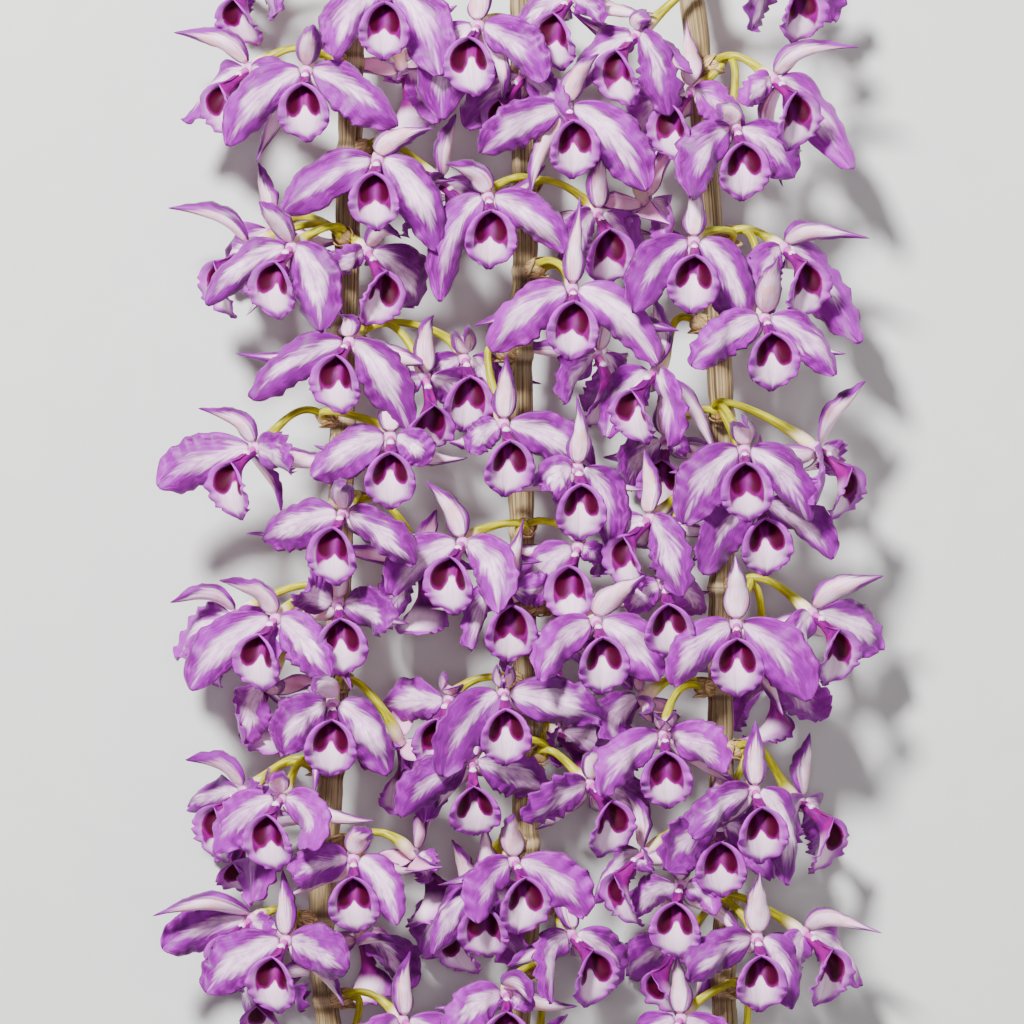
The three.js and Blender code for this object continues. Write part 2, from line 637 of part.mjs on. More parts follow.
const PEDICEL_STOPS = [0, 0.14, 0.52, 1];
const PEDICEL_RADII = [1.9, MENTUM_RADIUS, PEDICEL_RADIUS, PEDICEL_RADIUS];
const PEDICEL_CORNERS = [90, -30, -150];
// The pedicel's corner that each point of the hub's back is joined to, from the dorsal sepal's
// left edge and underside on.
const CORNER_OF = [0, 0, 0, 1, 1, 1, 1, 2, 2, 2, 2, 2];

// The pedicel's three-cornered rings; each stands square to the way from ring to ring.
function pedicelRings(frame, axis, growth) {
  const centres = PEDICEL_STOPS.map((t) => axis.getPoint(t));
  const corner = portWay(frame, 90);
  return centres.map((centre, i) => {
    const last = centres.length - 1;
    const along = centres[Math.min(i + 1, last)].clone().sub(centres[Math.max(i - 1, 0)]);
    along.normalize();
    corner.addScaledVector(along, -corner.dot(along)).normalize();
    const side = along.clone().cross(corner).multiplyScalar(frame.hand);
    const radius = PEDICEL_RADII[i] + growth;
    return PEDICEL_CORNERS.map((angle) => centre.clone()
      .addScaledVector(side, radius * Math.cos(radians(angle)))
      .addScaledVector(corner, radius * Math.sin(radians(angle))));
  });
}

function hubPoint(frame, angle, radius, depth, growth) {
  return frame.middle.clone()
    .addScaledVector(portWay(frame, angle), radius + growth)
    .addScaledVector(frame.front, depth);
}

// The hub's point between the blade in a slot and the one before it.
function hubEdge(frame, slot, growth) {
  const before = portOf((slot + SLOTS.length - 1) % SLOTS.length);
  const apart = (before - portOf(slot) + 720) % 360;
  return hubPoint(frame, portOf(slot) + apart / 2, HUB_RADIUS, 0, growth);
}

// The blade's rings past the hub and its tip.
function bladeRings(frame, sheet, slot, growth) {
  const { stops, thickness } = SLOTS[slot].kind;
  const rings = stops.map((t) => section(frame, sheet, t, thickness, growth));
  const tip = sheet(1, 0);
  const beyond = tip.clone().sub(sheet(1 - TIP_REACH, 0)).normalize();
  return [...rings, [tip.addScaledVector(beyond, growth)]];
}

// The ring of the hub that a blade grows from.
function rootRing(frame, slot, growth) {
  const next = (slot + 1) % SLOTS.length;
  const [[overRadius, overDepth], [underRadius, underDepth]] = SLOTS[slot].kind.root;
  const over = hubPoint(frame, portOf(slot), overRadius, overDepth + growth, growth);
  const under = hubPoint(frame, portOf(slot), underRadius, underDepth - growth, growth);
  const left = hubEdge(frame, slot, growth);
  const right = hubEdge(frame, next, growth);
  return [left, over, right, under];
}

// Triangles between two rings, given by the numbers of their points.
function joinRings(index, ring, next) {
  ring.forEach((here, k) => {
    const j = (k + 1) % ring.length;
    index.push(here, ring[j], next[j], here, next[j], next[k]);
  });
}

// Triangles of a blade through its rings to its tip. Both faces are split the same way, so
// that they can't cross where the blade is twisted.
function joinBlade(index, rings) {
  for (let i = 0; i + 2 < rings.length; i += 1) {
    const [left, over, right, under] = rings[i];
    const [left2, over2, right2, under2] = rings[i + 1];
    index.push(left, over, over2, left, over2, left2);
    index.push(over, right, over2, right, right2, over2);
    index.push(right, under, under2, right, under2, right2);
    index.push(under, left, under2, left, left2, under2);
  }
  const last = rings[rings.length - 2];
  const [tip] = rings[rings.length - 1];
  last.forEach((here, k) => index.push(here, last[(k + 1) % last.length], tip));
}

// A bloom's hub, pedicel and blades as one closed body that shares its vertices. Without
// sheets it is the hub and pedicel alone, closed where the blades would grow.
function bloomSolid({ frame, axis }, sheets, growth) {
  const positions = [];
  const index = [];
  const point = (p) => positions.push(p.x, p.y, p.z) / 3 - 1;
  const edges = SLOTS.map((_, slot) => point(hubEdge(frame, slot, growth)));
  const front = point(frame.middle.clone().addScaledVector(frame.front, HUB_FRONT + growth));
  const loop = [];
  SLOTS.forEach((_, slot) => {
    const left = edges[slot];
    const right = edges[(slot + 1) % edges.length];
    const places = rootRing(frame, slot, growth);
    const over = point(places[1]);
    const under = point(places[3]);
    index.push(front, over, left, front, right, over);
    if (sheets) {
      const rings = bladeRings(frame, sheets[slot], slot, growth).map((ring) => ring.map(point));
      joinBlade(index, [[left, over, right, under], ...rings]);
    } else {
      index.push(left, over, right, left, right, under);
    }
    loop.push(left, under);
  });
  const rings = pedicelRings(frame, axis, growth).map((ring) => ring.map(point));
  loop.forEach((here, k) => {
    const m = (k + 1) % loop.length;
    const corner = rings[0][CORNER_OF[k]];
    const after = rings[0][CORNER_OF[m]];
    if (after === corner) index.push(here, loop[m], corner);
    else if (k % 2 === 1) index.push(here, loop[m], after, here, after, corner);
    else index.push(here, loop[m], corner, loop[m], after, corner);
  });
  for (let i = 0; i + 1 < rings.length; i += 1) joinRings(index, rings[i], rings[i + 1]);
  index.push(...rings[rings.length - 1]);
  return closedSolid(positions, index);
}

// A blade by itself, closed at its root.
function bladeBody({ frame }, sheet, slot) {
  const positions = [];
  const point = (p) => positions.push(p.x, p.y, p.z) / 3 - 1;
  const rings = [rootRing(frame, slot, 0), ...bladeRings(frame, sheet, slot, 0)];
  const numbers = rings.map((ring) => ring.map(point));
  const [left, over, right, under] = numbers[0];
  const index = [over, left, right, right, left, under];
  joinBlade(index, numbers);
  return closedSolid(positions, index);
}

// ---------------------------------------------------------------- blades bent clear

const CLEAR_DISTANCE = 2.6; // least distance between the sample points of two blades
const SAMPLES_ALONG = [0.28, 0.36, 0.44, 0.52, 0.6, 0.68, 0.76, 0.84, 0.92, 1];
const SAMPLES_ACROSS = [-1, -0.66, -0.33, 0, 0.33, 0.66, 1];
const CANE_SAMPLES = 8; // sample points round a cane, this deep in it, on rings this far apart
const CANE_SAMPLE_DEPTH = 1;
const CANE_SAMPLE_STEP = 2;
// Ways to bend a blade clear, tried in turn: share of its length, and how far a petal's tip
// comes to the front or a side sepal's goes back.
const CHANGES = [
  [1, 0], [1, 5], [1, 10], [0.92, 0], [0.92, 7], [1, 15], [0.84, 0], [0.84, 7], [0.84, 14],
  [0.92, -6], [0.75, 0], [0.75, 8], [0.75, -7], [0.66, 0], [0.66, 8], [0.66, -7], [0.57, 0],
  [0.57, 8], [0.57, -7], [0.48, 0], [0.48, 7], [0.48, -7], [0.4, 0], [0.3, 0],
];

// For a blade that is free nowhere: short ways that need only miss its own bloom.
const STUNTED = [[0.5, 0], [0.4, 0], [0.4, 5], [0.4, -5], [0.3, 0], [0.3, 6], [0.3, -6]];

const grid = new Map();
const cellOf = (value) => Math.floor(value / CLEAR_DISTANCE);

function occupy(points) {
  for (const p of points) {
    const key = `${cellOf(p.x)} ${cellOf(p.y)} ${cellOf(p.z)}`;
    if (!grid.has(key)) grid.set(key, []);
    grid.get(key).push(p);
  }
}

function isFree(points) {
  return points.every((p) => {
    for (let i = -1; i < 2; i += 1) {
      for (let j = -1; j < 2; j += 1) {
        for (let k = -1; k < 2; k += 1) {
          const key = `${cellOf(p.x) + i} ${cellOf(p.y) + j} ${cellOf(p.z) + k}`;
          const near = grid.get(key);
          if (near && near.some((q) => q.distanceTo(p) < CLEAR_DISTANCE)) return false;
        }
      }
    }
    return true;
  });
}

function samplesOf(sheet) {
  return SAMPLES_ALONG.flatMap((t) => SAMPLES_ACROSS.map((v) => sheet(t, v)));
}

// Bulges tried so that a blade keeps clear of the rest of its own bloom near the hub.
const BULGES = [0, 0.06, -0.06, 0.12, -0.12, 0.2, -0.2, 0.3, -0.3];
const OWN_OVERLAP = 0.001; // most volume that two pieces of one bloom may share

// Gives the bloom's blade in a slot the first way of growing that leaves it free of what is
// there already, or else the one that shares least with the rest of its own bloom.
function growBlade(bloom, slot) {
  const ways = [
    ...CHANGES.map((change) => [...change, false, true]),
    ...STUNTED.map((change) => [...change, true, false]),
  ];
  let best = null;
  for (const [share, lift, own, amongOthers] of ways) {
    for (const bulge of BULGES) {
      const sheet = sheetOf(bloom, slot, [share, lift, bulge, own]);
      if (amongOthers && !isFree(samplesOf(sheet))) continue;
      const body = bladeBody(bloom, sheet, slot);
      const overlap = bloom.bodies.reduce((sum, one) => sum + one.intersect(body).volume(), 0);
      if (!best || overlap < best.overlap) best = { sheet, body, overlap };
      if (best.overlap < OWN_OVERLAP) break;
    }
    if (best && best.overlap < OWN_OVERLAP) break;
  }
  bloom.bodies.push(best.body);
  bloom.sheets[slot] = best.sheet;
  occupy(samplesOf(best.sheet));
}

// ---------------------------------------------------------------- sprays

const STUB_LENGTH = 8;
const STUB_RADIUS = 3.6;
const STUB_END_RADIUS = 3;
const STUB_SIDES = 5;
const STUB_SINK = 0.6; // depth of its foot in the cane, as a share of the cane's radius
const STUB_RISE = 0.15; // how far a stub leans up its cane
// Foot and direction of the stub at a spray's node.
function sprayFoot([cane, y, angle]) {
  const centre = canePoint(CANES[cane], y);
  const out = vec(Math.cos(radians(angle)), STUB_RISE, Math.sin(radians(angle))).normalize();
  return { foot: centre.addScaledVector(out, STUB_SINK * CANE_RADIUS), out };
}

const PEDICEL_SINK = 5.6; // way along the stub where the pedicels end in it
const PEDICEL_SPREAD = 1.5; // distance of their ends from the stub's axis

function stubSolid(foot, out, growth) {
  return barSolid(
    (t) => foot.clone().addScaledVector(out, t),
    (t) => (t > 0 ? STUB_END_RADIUS : STUB_RADIUS) + growth,
    [0, STUB_LENGTH],
    STUB_SIDES,
  );
}

// Every bloom with its frame, pedicel and blades; higher blooms grow first, and the petals
// of all of them before the sepals.
function growBlooms() {
  const blooms = [];
  for (const [name, spray] of Object.entries(SPRAYS)) {
    const { foot, out } = sprayFoot(spray);
    const aside = out.clone().cross(vec(0, 1, 0)).normalize();
    for (const [k, row] of spray[3].entries()) {
      const frame = bloomFrame(row);
      const around = (2 * Math.PI * k) / spray[3].length + 0.5;
      const sink = foot.clone().addScaledVector(out, PEDICEL_SINK)
        .addScaledVector(aside, PEDICEL_SPREAD * Math.cos(around));
      sink.y += PEDICEL_SPREAD * Math.sin(around);
      const axis = pedicelAxis(frame, sink, out);
      const bodies = [bloomSolid({ frame, axis }, null, 0)];
      blooms.push({ name, row, frame, axis, bodies, seed: blooms.length + 1, sheets: [] });
    }
  }
  for (const rows of Object.values(CANES)) {
    for (let y = rows[0][0]; y < rows[rows.length - 1][0]; y += CANE_SAMPLE_STEP) {
      for (let k = 0; k < CANE_SAMPLES; k += 1) {
        const radius = caneRadius(rows, y) - CANE_SAMPLE_DEPTH;
        const angle = (2 * Math.PI * k) / CANE_SAMPLES;
        const across = vec(radius * Math.cos(angle), 0, radius * Math.sin(angle));
        occupy([canePoint(rows, y).add(across)]);
      }
    }
  }
  const ordered = [...blooms].sort((a, b) => b.row[2] - a.row[2] || a.seed - b.seed);
  for (const bloom of ordered) {
    occupy([bloom.frame.middle, ...bloom.axis.getPoints(14).slice(2, 13)]);
  }
  for (const slots of [[LIP_SLOT], PETAL_SLOTS, SEPAL_SLOTS]) {
    for (const bloom of ordered) slots.forEach((slot) => growBlade(bloom, slot));
  }
  return blooms;
}

function boxesMeet(a, b) {
  return [0, 1, 2].every((k) => a.min[k] < b.max[k] && b.min[k] < a.max[k]);
}

function largestBody(solid) {
  const bodies = solid.decompose();
  return bodies.reduce((best, body) => (body.volume() > best.volume() ? body : best));
}

// Each spray as one solid, cut clear of the canes and of the sprays placed before it.
function spraySolids(obstacles) {
  const sprays = new Map(Object.keys(SPRAYS).map((name) => [name, []]));
  for (const bloom of growBlooms()) sprays.get(bloom.name).push(bloom);
  const placed = obstacles.map((grown) => ({ solid: grown, grown, box: grown.boundingBox() }));
  const results = [];
  for (const [name, blooms] of sprays) {
    const { foot, out } = sprayFoot(SPRAYS[name]);
    const whole = (growth) => wasm.Manifold.union([
      stubSolid(foot, out, growth),
      ...blooms.map((bloom) => bloomSolid(bloom, bloom.sheets, growth)),
    ]);
    let solid = whole(0);
    const box = solid.boundingBox();
    for (const other of placed.filter((one) => boxesMeet(box, one.box))) {
      if (solid.intersect(other.solid).volume() > 0) solid = solid.subtract(other.grown);
    }
    const grown = whole(CLEARANCE);
    placed.push({ solid, grown, box: grown.boundingBox() });
    results.push([name, largestBody(solid)]);
  }
  return results;
}

// ---------------------------------------------------------------- assembly

const MATERIALS = {
  cane: new THREE.MeshStandardMaterial({ color: 0x8a8474, roughness: 0.8, metalness: 0 }),
  rhizome: new THREE.MeshStandardMaterial({ color: 0x7b7058, roughness: 0.9, metalness: 0 }),
  spray: new THREE.MeshStandardMaterial({ color: 0xc99ae0, roughness: 0.6, metalness: 0 }),
};

const WELDS = [0.05, 0.03, 0.02, 0.01, 0.005, 0.002];
const LAST_WELD = 0.001;
const WELD_VOLUME_SHARE = 0.002; // most that a weld may change a solid's volume by

const group = new THREE.Group();

// A geometry with close points made one and the triangles that lose their area left out.
function welded(geometry, distance) {
  const merged = mergeVertices(geometry, distance);
  const { array } = merged.index;
  const kept = [];
  for (let i = 0; i < array.length; i += 3) {
    const [a, b, c] = array.slice(i, i + 3);
    if (a !== b && b !== c && c !== a) kept.push(a, b, c);
  }
  merged.setIndex(kept);
  return merged;
}

function isClosedBody(geometry, volume) {
  try {
    const whole = new wasm.Manifold(new wasm.Mesh({
      numProp: 3,
      vertProperties: new Float32Array(geometry.attributes.position.array),
      triVerts: new Uint32Array(geometry.index.array),
    }));
    const same = Math.abs(whole.volume() - volume) < WELD_VOLUME_SHARE * volume;
    return same && whole.decompose().length === 1;
  } catch {
    return false;
  }
}

// The solid's surface, welded as coarsely as leaves it one closed body, so that no sliver stays.
function geometryOf(solid) {
  const { vertProperties, triVerts } = solid.getMesh();
  const raw = new THREE.BufferGeometry();
  raw.setAttribute('position', new THREE.BufferAttribute(new Float32Array(vertProperties), 3));
  raw.setIndex([...triVerts]);
  raw.translate(-ORIGIN_X, -ORIGIN_Y, 0);
  const tries = WELDS.map((distance) => welded(welded(raw, distance), LAST_WELD));
  return tries.find((one) => isClosedBody(one, solid.volume())) ?? welded(raw, LAST_WELD);
}

function addMesh(name, solid, material) {
  const geometry = geometryOf(solid);
  geometry.computeVertexNormals();
  const mesh = new THREE.Mesh(geometry, material);
  mesh.name = name;
  group.add(mesh);
}

addMesh('rhizome', rhizomeSolid(0), MATERIALS.rhizome);
const obstacles = [];
for (const name of Object.keys(CANES)) {
  const cane = caneSolid(name, 0).subtract(rhizomeSolid(CLEARANCE));
  addMesh(`cane_${name}`, largestBody(cane), MATERIALS.cane);
  obstacles.push(caneSolid(name, CLEARANCE));
}
for (const [name, solid] of spraySolids(obstacles)) {
  addMesh(`spray_${name}`, solid, MATERIALS.spray);
}

export default group;
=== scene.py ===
"""A hanging dendrobium orchid in full bloom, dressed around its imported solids.

The tables are in millimetres in the plant's own plan, with X to the right, Y up the canes and
Z towards the viewer. PLAN_ORIGIN and MM take them to the model's frame.
"""

import math

import bpy
import numpy as np
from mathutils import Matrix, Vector

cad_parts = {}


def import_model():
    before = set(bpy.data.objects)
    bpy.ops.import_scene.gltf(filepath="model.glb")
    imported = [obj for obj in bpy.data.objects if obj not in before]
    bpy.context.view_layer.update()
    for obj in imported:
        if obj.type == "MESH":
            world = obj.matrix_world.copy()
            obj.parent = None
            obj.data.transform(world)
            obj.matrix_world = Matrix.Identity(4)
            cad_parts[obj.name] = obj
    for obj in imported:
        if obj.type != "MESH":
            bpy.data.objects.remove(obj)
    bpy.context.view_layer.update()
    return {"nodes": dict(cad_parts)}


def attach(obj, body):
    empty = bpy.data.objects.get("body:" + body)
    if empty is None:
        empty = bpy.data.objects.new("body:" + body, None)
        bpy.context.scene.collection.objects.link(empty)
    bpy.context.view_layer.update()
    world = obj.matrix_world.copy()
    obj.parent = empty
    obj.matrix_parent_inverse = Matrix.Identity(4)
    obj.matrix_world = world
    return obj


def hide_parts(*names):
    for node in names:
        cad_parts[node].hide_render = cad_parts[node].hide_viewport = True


# ---------------------------------------------------------------- driving dimensions

MM = 0.001
PLAN_ORIGIN = np.array([2.5, 65.0, 0.0])  # plan point under which the model's origin lies
CANE_AXIS_HEIGHT = 34.0  # height of the flowering canes over the surface
CANE_RADIUS = 4.9
CANE_TIP_LENGTH = 45.0  # stretch over which a cane tapers to its tip
CANE_TIP_RADIUS = 2.0
NODE_SPACING = 32.5  # length of one internode
BARE_TOP = 12.0  # end of a cane that has no node, where it enters the rhizome
FLOOR_SOFTNESS = 3.0  # height under which a low tepal bends along the surface
LEAST_HEIGHT = 0.05  # what a fine form keeps above the surface

# Each cane from its tip to the rhizome: Y, X and height of its axis.
H = CANE_AXIS_HEIGHT
CANES = {
    "left": [
        [-240, -64, 26], [-189, -71, H], [-155, -73, H], [-128, -71, H], [-64, -67, H],
        [33, -65, H], [141, -62, H], [195, -60, H], [235, -52, 31], [277, -35, 21],
        [317, -11, 9],
    ],
    "middle": [
        [-232, 0, 28], [-172, 4, H], [-147, 7, H], [-115, 5, H], [-87, 7, H], [-49, 5, H],
        [54, 3, H], [94, 5, H], [189, 4, H], [240, 5, 30], [285, 6, 18], [317, 8, 9],
    ],
    "right": [
        [-245, 84, 26], [-182, 81, H], [-147, 82, H], [-90, 80, H], [-33, 80, H], [12, 81, H],
        [81, 78, H], [119, 75, H], [187, 70, H], [230, 61, 31], [276, 45, 21], [317, 26, 9],
    ],
}

# A kind of tepal. port: angle at which it leaves the hub. aim: the way it grows by itself, as
# shares to its side, up and to the front. bow: how far it bulges to the front, as a share of
# its length. cup: how far its edges stand to the front. head and tail: how slowly it widens
# from its root and how soon it narrows to its tip. stops: where its solid has its sections.
# Of its fine form, grid: its places along and across, and how they crowd towards the tip
# (1: evenly). thickness: in millimetres. fold: how steeply its halves fold back, in radians,
# at least, by a draw, and more towards the tip. fullness: its width as a share of the flat
# solid's.
NARROW = {"grid": (20, 9, 1.2), "thickness": 0.85, "fold": (0.5, 0.8, 0.6), "fullness": 1}
DORSAL = {
    "port": 90, "aim": (0, 0.95, -0.12), "length": 27, "width": 10, "bow": 0.03,
    "cup": -0.25, "twist": 0.5, "head": 0.7, "tail": 0.9, "stops": (0.44,), "lift": 1,
    **NARROW,
}
PETAL = {
    "port": 10, "aim": (0.8, -0.6, 0.2), "length": 35, "width": 19, "bow": 0.14,
    "cup": 0.2, "twist": 0.4, "head": 0.9, "tail": 0.66, "stops": (0.38, 0.74), "lift": 1,
    "grid": (28, 13, 1.2), "thickness": 0.75, "fold": (0.1, 1.0, 0.0), "fullness": 1.1,
}
SEPAL = {
    "port": -50, "aim": (0.88, -0.3, -0.38), "length": 32, "width": 9.5, "bow": -0.16,
    "cup": -0.25, "twist": 0.8, "head": 0.7, "tail": 0.9, "stops": (0.44,), "lift": -1,
    **NARROW,
}
LIP = {"port": -90, "stops": (0.27, 0.52, 0.78)}
# A bloom's blades in order round it: kind, side, and the place of its tip among its tips.
SLOTS = [
    (DORSAL, 1, 0), (PETAL, 1, 2), (SEPAL, 1, 4), (LIP, 1, None), (SEPAL, -1, 3), (PETAL, -1, 1),
]
LIP_SLOT = 3
SIDE_PLACE = 0.4  # place along a blade where its left side is told from its right
CLAW_HALF_WIDTH = 1.5  # half width of a tepal at its root
CLAW_REACH = 0.22  # share of its length by which a tepal first runs straight out of the hub
WAY_REACH = 0.25  # share of its own way by which its path's bend lies out
MAX_LEAN = 0.5  # most of a tepal's length that runs towards or from the viewer
WIDTH_DRAW = (0.92, 0.16)  # least width of a tepal, and what a draw adds to it
MIN_FACE = 0.2  # where a blade runs nearly to the front, it faces up instead

# The lip: the front and the drop of its path's bend and tip from the bloom's middle.
LIP_BEND = (19, 7)
LIP_TIP = (11.5, 26.5)
LIP_SWAY = 2.0
# Along the solid lip: place, half width and how far its edges stand up.
LIP_ROWS = [
    [0, 1.6, 0.4], [0.26, 2.9, 1.2], [0.5, 5.2, 1.1], [0.64, 8.4, 0.45], [0.76, 9.6, 0.15],
    [0.9, 7.4, 0.1], [1, 0.6, 0],
]
# Along the fine lip: place, half of its width laid flat, the angle by which it turns up from
# its middle to its edge, and the angle by which the edge itself flares back out.
LIP_ROLL = [
    [0, 4.6, 2.9, 0], [0.24, 7.6, 3.05, 0.1], [0.33, 9.8, 2.9, 1.2], [0.38, 11.0, 2.35, 1.7],
    [0.44, 12.0, 1.8, 1.7], [0.52, 12.2, 1.35, 1.4], [0.62, 11.8, 1.0, 1.1],
    [0.76, 9.8, 0.6, 0.9], [0.86, 6.8, 0.4, 0.7], [0.93, 3.2, 0.2, 0.3], [1, 0.6, 0.1, 0],
]
LIP_FLARE_FROM = 0.72  # place across the lip from which its edge flares
ROLL_STEPS = 80  # steps in which half of the fine lip's section is rolled

HUB_RADIUS = 3.1
HUB_PORT_RADIUS = 2.5  # distance from a bloom's middle at which its blades start
HUB_BACK = 2.3  # distance behind a bloom's middle at which its pedicel starts

# The ways in which a blade may have grown clear of its neighbours in the solids. A change is
# the share of its length that it reaches and how far its tip is moved. A stunted blade has
# given up its tip in the table and grown by itself. A bulge is what a blade's bow gains.
CHANGES = [
    (1, 0), (1, 5), (1, 10), (0.92, 0), (0.92, 7), (1, 15), (0.84, 0), (0.84, 7), (0.84, 14),
    (0.92, -6), (0.75, 0), (0.75, 8), (0.75, -7), (0.66, 0), (0.66, 8), (0.66, -7), (0.57, 0),
    (0.57, 8), (0.57, -7), (0.48, 0), (0.48, 7), (0.48, -7), (0.4, 0), (0.3, 0),
]
STUNTED = [(0.5, 0), (0.4, 0), (0.4, 5), (0.4, -5), (0.3, 0), (0.3, 6), (0.3, -6)]
BULGES = (0, 0.06, -0.06, 0.12, -0.12, 0.2, -0.2, 0.3, -0.3)
WAYS = np.array(
    [(share, lift, bulge, 0) for share, lift in CHANGES for bulge in BULGES]
    + [(share, lift, bulge, 1) for share, lift in STUNTED for bulge in BULGES]
)
SURE_GAP = 0.12  # a way is taken as the right one when the solid's corners fit it this well
GAP_CAP = 1.0  # a corner that has been cut away counts as this far off

